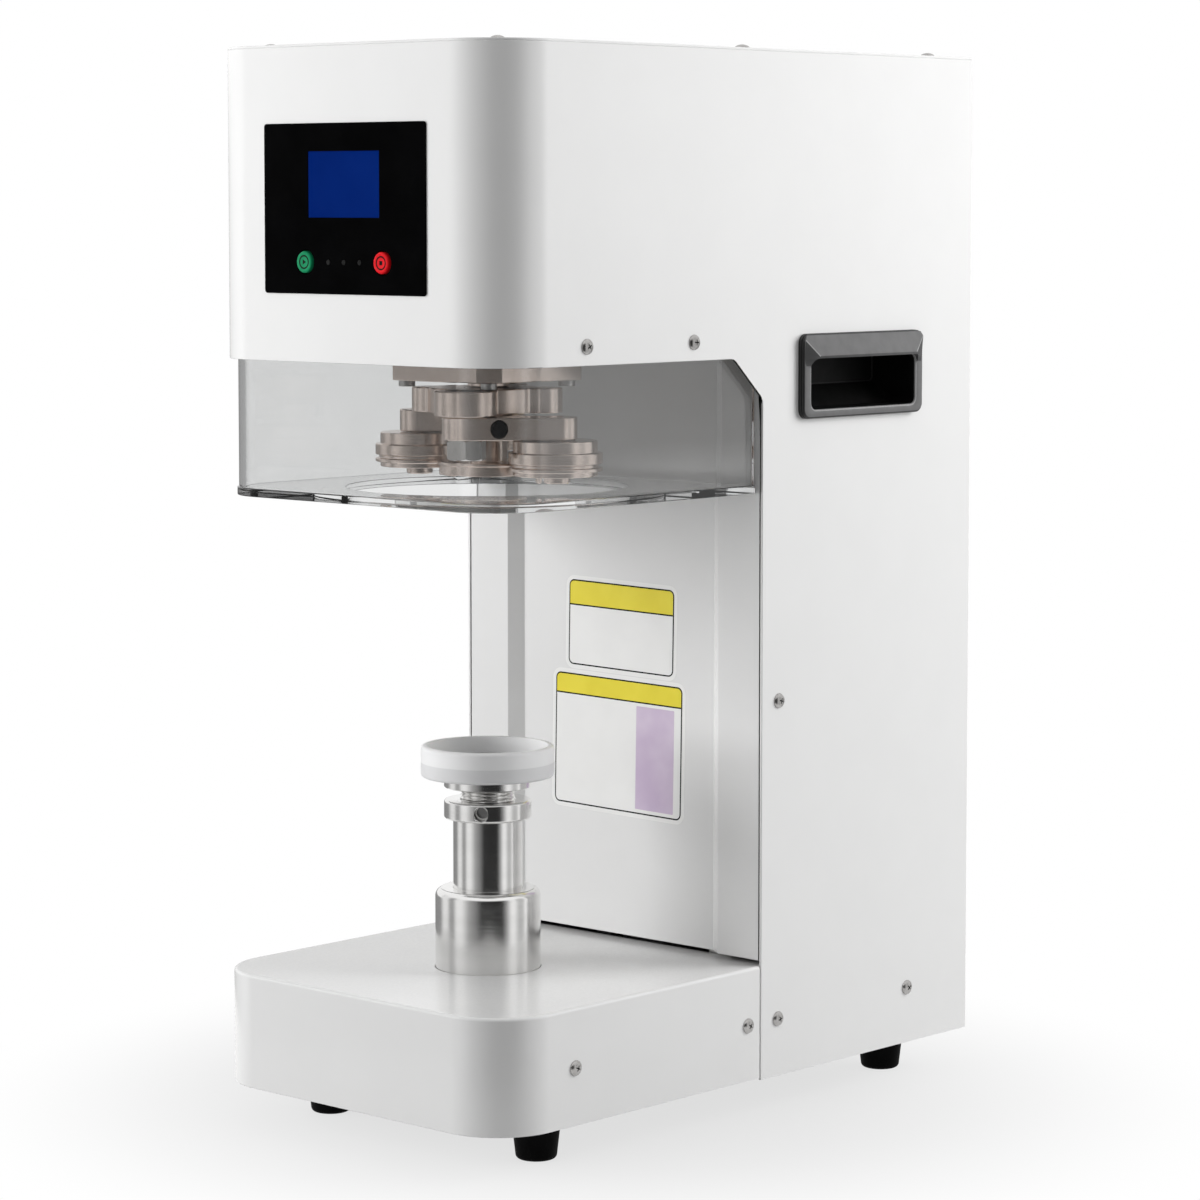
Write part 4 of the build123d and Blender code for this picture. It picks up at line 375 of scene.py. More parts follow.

# %% [markdown]
# The sheet-metal covers are cut from 1.5 mm sheet, so only a hair of their edge is rounded. The cut
# edge at the chamfer of the bay and the sides of the column panel get a painted shadow: a near-black
# finish in place of the shadow gap there, so a thin black line runs round the bay. The clear guard is
# thicker and its sawn edges are polished and show white lines.

# %% Covers, panel and guard
SHEETS = ("main_cover", "top_cover", "base_cover", "column_panel", "rear_cover")
sheets = {node: softened(node, 0.35) for node in SHEETS}
SHEET = 1.5 * MM
cover_x, panel_x = (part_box(node)[1].x - 2 * SHEET for node in ("top_cover", "column_panel"))
# Faces at the chamfer of the bay and at the sides of the column panel get the painted shadow finish.
for face in sheets["main_cover"].data.polygons:
    painted_shadow_face = face.normal.y < -0.12 and face.normal.z < -0.2
    face.material_index = int(painted_shadow_face and abs(face.center.x) > cover_x)
for face in sheets["column_panel"].data.polygons:
    face.material_index = int(abs(face.normal.x) > 0.9 and abs(face.center.x) > panel_x)
for node in ("main_cover", "column_panel"):
    sheets[node].data.materials.append(finishes["painted_shadow_edge"])
for node in ("guard_wall", "guard_floor"):
    softened(node, 0.5, 3)
print("covers and guard softened")

# %% [markdown]
# The seaming head is milled and turned steel with broken edges. Each part is its own piece, because
# carrier, arms and rollers all move against each other.

# %% Seaming head
for node in ("bearing_housing", "roller_carrier", "first_arm", "second_arm", "seaming_cam"):
    softened(node, 0.7, 3)
for node in ("first_roller", "second_roller", "chuck", "spindle"):
    softened(node, 0.5, 3)
for node in ("housing_bolts", "first_clamp_screw", "second_clamp_screw"):
    softened(node, 0.4, 3)
print("seaming head softened")

# %% [markdown]
# The lift is a stack of turned pieces: guide sleeve, ram and ring nut. The feet are moulded rubber
# with a generous round at the floor. Inlet and rocker in the back are moulded too.

# %% Lift, feet and inlet
softened("lift_guide", 0.4, 2, shoulder=2.0)
for node, width in (("lift_ram", 0.6), ("adjusting_nut", 0.5), ("can_holder", 0.7)):
    softened(node, width, 3)
softened("rubber_feet", 1.0, 4)
for node in ("power_inlet", "power_rocker"):
    softened(node, 0.4, 3)
softened("control_panel", 0.25)
print("lift, feet and inlet softened")

# %% [markdown]
# ## Lathe and skin
# Two ways to a new shape come up again and again. A turned part is a profile spun round an axis. Other
# parts are rings of points, one after the other, with a skin of faces between them.

# %% Lathe and skin
def neighbours(count):
    """Each index of a ring with the one after it."""
    return [(i, (i + 1) % count) for i in range(count)]


def turned(profile, centre, steps=96):
    """Spin a closed profile of (radius, height) round an upright axis through centre."""
    bm = bmesh.new()
    rings = []
    for step in range(steps):
        angle = 2 * math.pi * step / steps
        across = Vector((math.cos(angle), math.sin(angle), 0))
        rings.append([bm.verts.new(centre + across * r + Vector((0, 0, z))) for r, z in profile])
    for step, ring in enumerate(rings):
        after = rings[(step + 1) % steps]
        for i, j in neighbours(len(profile)):
            bm.faces.new((ring[i], after[i], after[j], ring[j]))
    bmesh.ops.remove_doubles(bm, verts=bm.verts, dist=TIP_WELD)
    bmesh.ops.recalc_face_normals(bm, faces=bm.faces)
    return bm


def skin(bm, rings, close_last=True):
    """Bridge rings of points one after the other, each ring a list of vectors."""
    made = [[bm.verts.new(p) for p in ring] for ring in rings]
    for near, far in zip(made, made[1:]):
        for i, j in neighbours(len(near)):
            bm.faces.new((near[i], near[j], far[j], far[i]))
    if close_last:
        bm.faces.new(made[-1])
    return made


print("a ring of three:", neighbours(3))

# %% [markdown]
# ## Threaded seat
# Under the can holder a disc sits on a threaded stud, and the ring nut runs on that thread. A stack
# of rings would look right from afar, but a thread climbs. So the stud's skin is a grid of points
# whose radius depends on height minus the share of a turn, which makes one true helix.

# %% Threaded seat
seat_low, seat_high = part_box("can_seat")
AXIS = Vector(((seat_low.x + seat_high.x) / 2, (seat_low.y + seat_high.y) / 2, 0))
DISC_R = (seat_high.x - seat_low.x) / 2
DISC_T = 6.5 * MM
STUD_R = 16.5 * MM
PITCH = 2.0 * MM
DEPTH = 0.9 * MM
BREAK = 0.6 * MM
disc_low = seat_high.z - DISC_T
profile = [(0, disc_low), (DISC_R - BREAK, disc_low), (DISC_R, disc_low + BREAK)]
profile += [(DISC_R, seat_high.z - BREAK), (DISC_R - BREAK, seat_high.z), (0, seat_high.z)]
disc = turned(profile, AXIS)
TURN_STEPS = 72
LEVELS = round((disc_low - seat_low.z) / (PITCH / 8))
rows = []
for level in range(LEVELS + 1):
    z = seat_low.z + (disc_low - seat_low.z) * level / LEVELS
    rows.append([])
    for step in range(TURN_STEPS):
        turn = step / TURN_STEPS
        phase = ((z - seat_low.z) / PITCH - turn) % 1.0
        radius = STUD_R - DEPTH * (1 - abs(2 * phase - 1))
        angle = 2 * math.pi * turn
        rows[-1].append(AXIS + Vector((radius * math.cos(angle), radius * math.sin(angle), z)))
made = skin(disc, rows)
disc.faces.new(list(reversed(made[0])))
stand_in(new_piece("threaded_seat", disc, "turned_steel", 30), "seat", "can_seat")
print("thread with", round((disc_low - seat_low.z) / PITCH), "turns")

# %% [markdown]
# ## Carrying handles
# Each side has a recessed black handle: a stepped rim, a hipped hood over the mouth and a pocket
# whose floor slopes up to the back. Rings of points with the same count, one inside the other, are
# skinned from the outer edge over the rim and down into the pocket. Rim and hood carry a grain that
# looks grey, and the flank is smooth and black. The edge of the mouth and the ridges of the hips get a
# painted highlight, a light grey finish. The hip faces and the pocket get painted shade, darker
# finishes, and the lip takes the darker finish of the hips.

# %% Measures of a handle
def rounded_box(middle, width, tall, radius, corner=8):
    """Points of a rounded rectangle around (along, up), always the same count."""
    points = []
    for quarter, (sx, sy) in enumerate(((1, 1), (-1, 1), (-1, -1), (1, -1))):
        for step in range(corner + 1):
            angle = math.pi / 2 * (quarter + step / corner)
            x = middle[0] + sx * (width / 2 - radius) + radius * math.cos(angle)
            y = middle[1] + sy * (tall / 2 - radius) + radius * math.sin(angle)
            points.append((x, y))
    return points


handle_low, handle_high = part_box("carry_handles")
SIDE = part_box("top_cover")[1].x
handle_mid = ((handle_low.y + handle_high.y) / 2, (handle_low.z + handle_high.z) / 2)
LONG = handle_high.y - handle_low.y
TALL = handle_high.z - handle_low.z
RIM, SIDE_RIM = 5.5 * MM, 7.5 * MM
CORNER, MOUTH_CORNER = 6.0 * MM, 4.5 * MM
HOOD = 15.0 * MM
PROUD = 4.5 * MM
POCKET = 29.5 * MM
EDGE = 1.1 * MM
mouth_long, mouth_tall = LONG - 2 * SIDE_RIM, TALL - HOOD - RIM
mouth_mid = (handle_mid[0], handle_low.z + RIM + mouth_tall / 2)
mouth_top = mouth_mid[1] + mouth_tall / 2


def rim_ring(inset, out):
    """A ring inset from the outer edge, at a distance out of the cover."""
    flat = rounded_box(handle_mid, LONG - 2 * inset, TALL - 2 * inset, CORNER - inset)
    return [Vector((SIDE + out, y, z)) for y, z in flat]


def mouth_ring(inset, out, lift=0.0, growth=0.0):
    """A ring inset from the mouth; further in it is lifted and grows or shrinks in height."""
    middle = (mouth_mid[0], mouth_mid[1] + lift)
    flat = rounded_box(middle, mouth_long - 2 * inset, mouth_tall - 2 * inset + growth, MOUTH_CORNER - inset)
    return [Vector((SIDE + out, y, z)) for y, z in flat]


print("handles", round(LONG / MM), "x", round(TALL / MM), "mm")

# %% [markdown]
# From the cover outwards the rim has a groove and a soft shoulder. Then the rings go over the rounded
# edge of the mouth, which takes a painted highlight, and down into the pocket, which takes painted
# shade. Each ring names the look of the strip that follows it.

# %% Rim and pocket
# Looks by index: grained grey, smooth black, painted highlight, painted shade of the pocket, painted shade
# of the hips.
GRAINED, SMOOTH, HIGHLIT, POCKET_SHADE, HIP_SHADE = range(5)
ROOF, SLOPE, SHRINK = 4.5 * MM, 10.5 * MM, -3.0 * MM
BACK_R = 0.9 * MM
steps = (
    (SMOOTH, rim_ring(0, 0)),
    (SMOOTH, rim_ring(0, 2.3 * MM)),
    (SMOOTH, rim_ring(0.5 * MM, 2.5 * MM)),
    (SMOOTH, rim_ring(0.5 * MM, 2.9 * MM)),
    (SMOOTH, rim_ring(0.15 * MM, 3.1 * MM)),
    (SMOOTH, rim_ring(0.15 * MM, PROUD - 0.7 * MM)),
    (SMOOTH, rim_ring(0.5 * MM, PROUD - 0.25 * MM)),
    (GRAINED, rim_ring(1.1 * MM, PROUD)),
    # the rounded edge of the mouth takes the painted highlight
    (HIGHLIT, mouth_ring(-EDGE, PROUD)),
    (HIGHLIT, mouth_ring(-0.3 * EDGE, PROUD - 0.3 * EDGE)),
    # From the mouth inwards the pocket takes the painted shade.
    (POCKET_SHADE, mouth_ring(0, PROUD - EDGE)),
    (POCKET_SHADE, mouth_ring(0.1 * MM, 0)),
    (POCKET_SHADE, mouth_ring(0.3 * MM, -1.5 * MM, ROOF, 2 * ROOF)),
    (POCKET_SHADE, mouth_ring(0.6 * MM, -POCKET * 0.5, ROOF, 2 * ROOF)),
    # The fillet along the back crease keeps the flank's smooth black, lighter and glossier than the painted
    # shade of the pocket, so a thin line shows there.
    (SMOOTH, mouth_ring(1.0 * MM, BACK_R - POCKET, SLOPE, SHRINK)),
    (SMOOTH, mouth_ring(1.0 * MM + 0.3 * BACK_R, 0.3 * BACK_R - POCKET, SLOPE, SHRINK)),
    (POCKET_SHADE, mouth_ring(1.0 * MM + BACK_R, -POCKET, SLOPE, SHRINK)),
)
handle = bmesh.new()
made = skin(handle, [ring for look, ring in steps])
level_of = {vert: step for step, ring in enumerate(made) for vert in ring}
for face in handle.faces:
    face.material_index = steps[min(level_of[vert] for vert in face.verts)][0]
print("rim and pocket", len(handle.faces), "faces")

# %% [markdown]
# The hood is one sloping face from the top of the rim out to a lip. At both ends a hip falls away to
# the rim and fades out beside the mouth. A table of rows from the outer edge to the hip gives those
# ends, and a skirt closes the shape.

# %% Lines of the hood
RISE = handle_high.x - SIDE - PROUD
LIP, HIP, INSET = 1.5 * MM, 11.0 * MM, 0.9 * MM
SHOULDER, FADE = 2.9 * MM, 6.8 * MM
SINK, SKIRT, RIDGE_BEVEL = 0.12 * MM, 0.4 * MM, 0.4 * MM
TOP_INSET = 2.7 * MM
HIP_STEPS = 6
hood_top, lip_top = handle_high.z - INSET, mouth_top + LIP
hip_top = hood_top - SHOULDER


def slope(z):
    """How far the hood stands out of the rim at a height."""
    return RISE * min(1.0, (hood_top - z) / (hood_top - lip_top))


def hip_rows():
    """Rows of two points (inset, height, out): outer edge, then hip, lip end and corner of the mouth."""
    rows = []
    for step in range(1, HIP_STEPS + 1):
        share = step / HIP_STEPS
        z = hip_top + share * (lip_top - hip_top)
        rows.append(((INSET, z, slope(hip_top) * (1 - share)), (INSET + (HIP - INSET) * share, z, slope(z))))
    inner = [(HIP, mouth_top)]
    bend = HIP - (SIDE_RIM - EDGE)
    for step in range(1, HIP_STEPS + 1):
        angle = math.pi / 2 * step / HIP_STEPS
        inner.append((HIP - bend * math.sin(angle), mouth_top - bend * (1 - math.cos(angle))))
    inner.append((HIP - bend, mouth_top - (bend + FADE) / 2))
    inner.append((HIP - bend, mouth_top - FADE))
    for inset, z in inner:
        fade = 1 - (mouth_top - z) / FADE
        fade = fade * fade * (3 - 2 * fade)
        rise = RISE * fade * (inset - INSET) / (HIP - INSET)
        rows.append(((INSET, z, -SINK), (inset, z, rise - SINK * (1 - fade))))
    return rows


print("hood stands out", round((RISE + PROUD) / MM, 1), "mm")

# %% [markdown]
# Both ends are laid out from the same rows. The sloping face joins them, the lip closes the front, and
# the skirt goes down all round. A small bevel on the ridges of the hips takes a painted highlight.

# %% Hood
wedge = bmesh.new()


def at(side, inset, z, out):
    return wedge.verts.new((SIDE + PROUD + out, handle_mid[0] + side * (LONG / 2 - inset), z))


top, shoulder, outer, inner = {}, {}, {}, {}
for side in (-1, 1):
    top[side] = at(side, TOP_INSET, hood_top, 0)
    shoulder[side] = at(side, INSET, hip_top, slope(hip_top))
    pairs = [(at(side, *far), at(side, *near)) for far, near in hip_rows()]
    outer[side], inner[side] = ([pair[k] for pair in pairs] for k in range(2))
    # Hip patches take the painted shade; the last two rows take the grained finish.
    wedge.faces.new((shoulder[side], outer[side][0], inner[side][0])).material_index = HIP_SHADE
    for k in range(len(pairs) - 1):
        patch = wedge.faces.new((outer[side][k], outer[side][k + 1], inner[side][k + 1], inner[side][k]))
        patch.material_index = HIP_SHADE if k < len(pairs) - 3 else GRAINED
left, right = (inner[side][:HIP_STEPS] for side in (-1, 1))
wedge.faces.new([top[-1], shoulder[-1], *left, *reversed(right), shoulder[1], top[1]])
LIP_ENDS = ((-1, 0), (-1, 1), (1, 1), (1, 0))
lip = wedge.faces.new([inner[side][HIP_STEPS - 1 + low] for side, low in LIP_ENDS])
# The lip takes the darker finish of the hips.
lip.material_index = HIP_SHADE
loop = [top[-1], shoulder[-1], *outer[-1], *reversed(inner[-1][HIP_STEPS:])]
loop += [*inner[1][HIP_STEPS:], *reversed(outer[1]), shoulder[1], top[1]]
sunk = [wedge.verts.new((SIDE + PROUD - SKIRT, v.co.y, v.co.z)) for v in loop]
for i, j in neighbours(len(loop)):
    wedge.faces.new((loop[i], loop[j], sunk[j], sunk[i]))
wedge.faces.new(sunk)
bmesh.ops.recalc_face_normals(wedge, faces=wedge.faces)
for hips in ([shoulder[-1], *left], [shoulder[1], *right]):
    ridge = [wedge.edges.get(pair) for pair in zip(hips, hips[1:])]
    # the bevel along each hip ridge takes the painted highlight finish
    soft = {"offset": RIDGE_BEVEL, "segments": 2, "affect": "EDGES", "profile": 0.5, "material": HIGHLIT}
    bmesh.ops.bevel(wedge, geom=ridge, **soft)
print("hood", len(wedge.faces), "faces")

# %% [markdown]
# Rim, pocket and hood become one mesh. The handle of the far side is its mirror image, with the faces
# turned round so that they look outwards again.

# %% Both handles
handle = joined(handle, wedge)
far_side = handle.copy()
for v in far_side.verts:
    v.co.x = -v.co.x
bmesh.ops.reverse_faces(far_side, faces=far_side.faces)
both_sides = joined(handle, far_side)
handles = new_piece("hooded_handles", both_sides, "black_plastic", 28, "handle_plastic")
for look in ("black_plastic", "handle_edge", "handle_pocket", "handle_hip"):
    handles.data.materials.append(finishes[look])
stand_in(handles, "frame", "carry_handles")
print("both handles", len(handles.data.polygons), "faces")

# %% [markdown]
# ## Pivot pins and nuts
# Each arm of the seaming head swings on a pin with a hex nut under it and carries its roller on a
# second, headed pin. In the frame they are plain solids of one node, so the first thing needed is a
# list of its separate solids, found by walking along edges from point to point.

# %% Islands of a node
def islands(node):
    """The separate solids of a CAD node, each a list of corner points; all in a fixed order."""
    bm = bmesh.new()
    bm.from_mesh(frame["nodes"][node].data)
    bmesh.ops.remove_doubles(bm, verts=bm.verts, dist=WELD)
    unseen, found = set(bm.verts), []
    while unseen:
        island, front = [], [unseen.pop()]
        while front:
            vert = front.pop()
            island.append(vert.co.copy())
            for edge in vert.link_edges:
                other = edge.other_vert(vert)
                if other in unseen:
                    unseen.discard(other)
                    front.append(other)
        found.append(sorted(island, key=tuple))
    bm.free()
    return sorted(found, key=lambda island: tuple(round(c, 5) for c in island[0]))


def extent(island):
    """Lowest and highest corner of an island's box."""
    return (Vector([pick(p[k] for p in island) for k in range(3)]) for pick in (min, max))


print("pins of an arm:", len(islands("first_pins")))

# %% [markdown]
# A bought nut has its corners turned off by a cone, which leaves six arcs on its faces. A bevel can't
# draw those arcs. So the nut is skinned from rings whose height follows the hexagon's edge.

# %% Nut with turned-off corners
CHAMFER = 30
CONE = math.tan(math.radians(CHAMFER))
BORE_BREAK = 0.6 * MM


def hex_nut(middle, corner, low, high, bore, steps=72):
    """A nut round an upright axis: one corner direction, two heights and the radius of its bore."""
    reach = corner.length
    flat = reach * math.cos(math.pi / 6)
    rim = 0.96 * flat
    start = math.atan2(corner.y, corner.x)

    def ring(radius_of, height_of):
        points = []
        for step in range(steps):
            turn = 2 * math.pi * step / steps
            edge = flat / math.cos((turn % (math.pi / 3)) - math.pi / 6)
            radius = radius_of(edge)
            spoke = Vector((math.cos(start + turn), math.sin(start + turn), 0))
            points.append(middle + spoke * radius + Vector((0, 0, height_of(edge))))
        return points

    bm = bmesh.new()
    rings = (
        ring(lambda edge: rim, lambda edge: high),
        ring(lambda edge: edge, lambda edge: high - (edge - rim) * CONE),
        ring(lambda edge: edge, lambda edge: low + (edge - rim) * CONE),
        ring(lambda edge: rim, lambda edge: low),
        ring(lambda edge: bore + BORE_BREAK, lambda edge: low),
        ring(lambda edge: bore, lambda edge: low + BORE_BREAK),
    )
    made = skin(bm, rings)
    bm.faces.new(list(reversed(made[0])))
    bmesh.ops.recalc_face_normals(bm, faces=bm.faces)
    return bm


print("nuts are turned off at", CHAMFER, "degrees")

# %% [markdown]
# The pins are lathe work with a broken edge at the head. Their radii and heights are read from the
# solids that they replace, so a pin stays where the frame has it. A foot of six points means a nut.

# %% Pins and nuts of both arms
HEAD_BREAK, THREAD = 0.7 * MM, 0.8 * MM


def headed_pin(middle, shank, head, heights):
    """A turned pin whose head has a broken edge; heights run from the shank's end to the head's face."""
    end, under, face = heights
    edge = math.copysign(HEAD_BREAK, face - under)
    profile = [(0, end), (shank, end), (shank, under), (head, under)]
    profile += [(head, face - edge), (head - HEAD_BREAK, face), (0, face)]
    return turned(profile, middle, 64)


for word in ("first", "second"):
    name = word + "_pins"
    pins = []
    for island in islands(name):
        low, high = extent(island)
        middle = Vector(((low.x + high.x) / 2, (low.y + high.y) / 2, 0))
        levels = sorted({round(p.z, 6) for p in island})
        spread = []
        for z in levels:
            spread.append(sorted((p.xy - middle.xy).length for p in island if abs(p.z - z) < LEVEL))
        foot = [p for p in island if abs(p.z - low.z) < LEVEL]
        if len(foot) == 6:
            shank = spread[1][0]
            corner = foot[0] - Vector((*middle.xy, foot[0].z))
            nut = hex_nut(middle, corner, levels[0], levels[1], shank - THREAD)
            stand_in(new_piece(word + "_pivot_nut", nut, slot_of[name], 20, "polished_nut"), body_of[name])
            pins.append(headed_pin(middle, shank, spread[3][-1], levels[1:4]))
        else:
            pins.append(headed_pin(middle, spread[2][0], spread[0][-1], levels[2::-1]))
    stand_in(new_piece(name + "_turned", joined(*pins), slot_of[name], 40), body_of[name], name)
print("pins and nuts of two arms")

# %% [markdown]
# ## Cover screws
# Twenty-six pan-head screws hold covers and guard. They are all alike, so one Geometry Nodes
# tree makes a head (a flattened ball kept inside a cylinder, minus a cross) and sets a copy on every
# point. The points come from the CAD screws: each island of that node gives a place and a direction.

# %% Where the screws are
HEAD_R, NEAR = 4.0 * MM, 0.1 * MM
screw_places = []
for island in islands("cover_screws"):
    low, high = extent(island)
    middle = (low + high) / 2
    round_ways = [abs(high[k] - low[k] - 2 * HEAD_R) < NEAR for k in range(3)]
    axis = next(k for k in range(3) if all(round_ways[:k] + round_ways[k + 1 :]))
    aim = Vector((0, 0, 0))
    aim[axis] = 1.0 if axis == 2 or middle[axis] > 0 else -1.0
    top = middle.copy()
    top[axis] = high[axis] if aim[axis] > 0 else low[axis]
    screw_places.append((top, aim))
screw_places.sort(key=lambda entry: tuple(round(c, 5) for c in entry[0]))
print(len(screw_places), "cover screws")

# %% [markdown]
# The tree takes its sizes as named inputs. Each point carries the direction its screw faces and the
# angle at which the screwdriver left the cross, so no two heads stand quite alike. The faces that the
# cross leaves behind keep a mark through the cut, and get a painted shade: a near-black finish for the
# dark inside of the recess.

# %% The screw-head tree
DOME, FACETS = 1.16, 40
SIZES = ("Head Radius", "Head Height", "Cross Length", "Cross Width", "Cross Depth")


def head_tree():
    tree = bpy.data.node_groups.new("pan_head_screws", "GeometryNodeTree")
    kinds = [("Geometry", "Geometry"), *((label, "Float") for label in SIZES)]
    for label, kind in (*kinds, ("Finish", "Material"), ("Recess", "Material")):
        tree.interface.new_socket(label, in_out="INPUT", socket_type="NodeSocket" + kind)
    tree.interface.new_socket("Geometry", in_out="OUTPUT", socket_type="NodeSocketGeometry")
    given = add_node(tree, "NodeGroupInput").outputs

    def add(kind, inputs, **settings):
        return result(tree, kind, inputs, **settings)

    def vector(x, y, z):
        return add("ShaderNodeCombineXYZ", {"X": x, "Y": y, "Z": z})

    def times(a, b):
        return add("ShaderNodeMath", {0: a, 1: b}, operation="MULTIPLY")

    def named(word, kind):
        return add("GeometryNodeInputNamedAttribute", {"Name": word}, data_type=kind)

    radius, tall, long, wide, deep = (given[label] for label in SIZES)
    ball = add("GeometryNodeMeshUVSphere", {"Segments": FACETS, "Rings": 24, "Radius": 1.0})
    swell = times(radius, DOME)
    dome = add("GeometryNodeTransform", {"Geometry": ball, "Scale": vector(swell, swell, tall)})
    drum = add("GeometryNodeMeshCylinder", {"Vertices": FACETS, "Radius": radius, "Depth": times(tall, 4.0)})
    raised = vector(0, 0, times(tall, 2.0))
    upper = add("GeometryNodeTransform", {"Geometry": drum, "Translation": raised})
    head = add("GeometryNodeMeshBoolean", {"Mesh 2": [dome, upper]}, operation="INTERSECT")
    bars = []
    for size in (vector(long, wide, times(deep, 2.0)), vector(wide, long, times(deep, 2.0))):
        bar = add("GeometryNodeMeshCube", {"Size": size})
        bar = add("GeometryNodeTransform", {"Geometry": bar, "Translation": vector(0, 0, tall)})
        mark = {"Geometry": bar, "Name": "recess", "Value": True}
        bars.append(add("GeometryNodeStoreNamedAttribute", mark, data_type="BOOLEAN", domain="FACE"))
    cut = add("GeometryNodeMeshBoolean", {"Mesh 1": head, "Mesh 2": bars}, operation="DIFFERENCE")
    upright = add("FunctionNodeAlignRotationToVector", {"Vector": named("aim", "FLOAT_VECTOR")}, axis="Z")
    spun = {"Rotation": upright, "Rotate By": vector(0, 0, named("turn", "FLOAT"))}
    facing = add("FunctionNodeRotateRotation", spun, rotation_space="LOCAL")
    heads = {"Points": given["Geometry"], "Instance": cut, "Rotation": facing}
    shape = add("GeometryNodeInstanceOnPoints", heads)
    shape = add("GeometryNodeRealizeInstances", {"Geometry": shape})
    shape = add("GeometryNodeSetMaterial", {"Geometry": shape, "Material": given["Finish"]})
    # the marked recess faces get the painted shade finish
    dark = {"Geometry": shape, "Selection": named("recess", "BOOLEAN"), "Material": given["Recess"]}
    add_node(tree, "NodeGroupOutput", {"Geometry": add("GeometryNodeSetMaterial", dark)})
    return tree


print("a screw head takes", len(SIZES), "sizes")

# %% [markdown]
# A cloud of points carries the two attributes, the tree grows a head on each point, and the result is
# kept as one plain mesh. The turn of each cross comes from the golden ratio, so it never repeats.

# %% Set the screws
HEAD_TALL, GOLDEN = 2.4 * MM, 0.618034
SIZED = {
    "Head Radius": HEAD_R,
    "Head Height": HEAD_TALL,
    "Cross Length": 3.5 * MM,
    "Cross Width": 0.75 * MM,
    "Cross Depth": 1.4 * MM,
    "Finish": finishes["bright_screw"],
    "Recess": finishes["screw_recess_shade"],
}
cloud = bpy.data.meshes.new("pan_head_cover_screws")
cloud.from_pydata([top - aim * HEAD_TALL for top, aim in screw_places], [], [])
for item, (top, aim) in zip(cloud.attributes.new("aim", "FLOAT_VECTOR", "POINT").data, screw_places):
    item.vector = aim
for index, item in enumerate(cloud.attributes.new("turn", "FLOAT", "POINT").data):
    item.value = ((index * GOLDEN) % 1.0) * math.pi / 2
cover_screws = placed("pan_head_cover_screws", cloud)
modifier = cover_screws.modifiers.new("grow", "NODES")
modifier.node_group = head_tree()
for item in modifier.node_group.interface.items_tree:
    if item.in_out == "INPUT" and item.name in SIZED:
        modifier[item.identifier] = SIZED[item.name]
settle(cover_screws)
cover_screws.data.shade_smooth()
cover_screws.data.set_sharp_from_angle(angle=math.radians(30))
stand_in(cover_screws, "frame", "cover_screws")
print("screw heads", len(cover_screws.data.polygons), "faces")

# %% [markdown]
# ## Push buttons
# The keys carry a print, and the column panel will carry stickers. Both are films a few hundredths of
# a millimetre thick: an outline with a skin round its edge, turned by a matrix to face forwards.

# %% Films and circles
FACE = Matrix(((1, 0, 0, 0), (0, 0, -1, 0), (0, 1, 0, 0), (0, 0, 0, 1)))


def film(outline, hole=None, thick=0.04 * MM):
    """A thin plate from one outline, or a ring between an outline and a hole of as many points."""
    edges = [(outline, 0), (outline, thick)]
    if hole:
        edges += [(hole, thick), (hole, 0)]
    bm = bmesh.new()
    made = skin(bm, [[Vector((x, y, z)) for x, y in loop] for loop, z in edges], not hole)
    if hole:
        for i, j in neighbours(len(outline)):
            bm.faces.new((made[3][i], made[3][j], made[0][j], made[0][i]))
    else:
        bm.faces.new(list(reversed(made[0])))
    bmesh.ops.recalc_face_normals(bm, faces=bm.faces)
    return bm


def circle(radius, steps=64):
    angles = [2 * math.pi * i / steps for i in range(steps)]
    return [(radius * math.cos(angle), radius * math.sin(angle)) for angle in angles]


print("circles of", len(circle(1.0)), "points")

# %% [markdown]
# Both caps are moulded: a dished face with a printed ring and a plain sign in the middle, a triangle
# to start and a square to stop. The cap is lathe work too, turned to face forwards.

# %% Caps and their prints
SIGNS = {
    "start": [(1.7 * MM, 0), (-1.1 * MM, 1.6 * MM), (-1.1 * MM, -1.6 * MM)],
    "stop": [(x * 1.2 * MM, z * 1.2 * MM) for x, z in ((1, 1), (-1, 1), (-1, -1), (1, -1))],
}
CAP_R, PRINT_OUT, PRINT_IN = 6.35 * MM, 4.1 * MM, 3.2 * MM
RING_DEEP, SIGN_DEEP = 0.19 * MM, 0.235 * MM
for word, slot in (("start", "button_green"), ("stop", "button_red")):
    low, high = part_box(word + "_button")
    middle = Vector(((low.x + high.x) / 2, low.y, (low.z + high.z) / 2))
    stem = high.y - low.y
    profile = [(0, -stem), (CAP_R, -stem), (CAP_R, -0.9 * MM), (CAP_R - 0.25 * MM, -0.35 * MM)]
    profile += [(CAP_R - 0.9 * MM, 0), (4.3 * MM, -0.15 * MM), (0, -0.25 * MM)]
    cap = turned(profile, Vector((0, 0, 0)), 72)
    place = Matrix.Translation(middle) @ FACE
    cap.transform(place)
    stand_in(new_piece(word + "_cap", cap, slot, 50), body_of[word + "_button"], word + "_button")
    ring = film(circle(PRINT_OUT), circle(PRINT_IN))
    ring.transform(place @ Matrix.Translation((0, 0, -RING_DEEP)))
    sign = film(SIGNS[word])
    sign.transform(place @ Matrix.Translation((0, 0, -SIGN_DEEP)))
    stand_in(new_piece(word + "_ring_print", ring, "film_black"), body_of[word + "_button"])
    stand_in(new_piece(word + "_sign_print", sign, "film_black"), body_of[word + "_button"])
print("two caps with rings and signs")

# %% [markdown]
# ## Stickers
# Two adhesive films sit on the set-back face of the column panel. They are kept bare: a coloured
# band, a white field and a thin dark line a little inside the edge. The lower one has a pale lilac
# field too. Each film is a few hundredths of a millimetre thick and lies on the one below, and both
# stickers were put on by hand, a degree out of true.

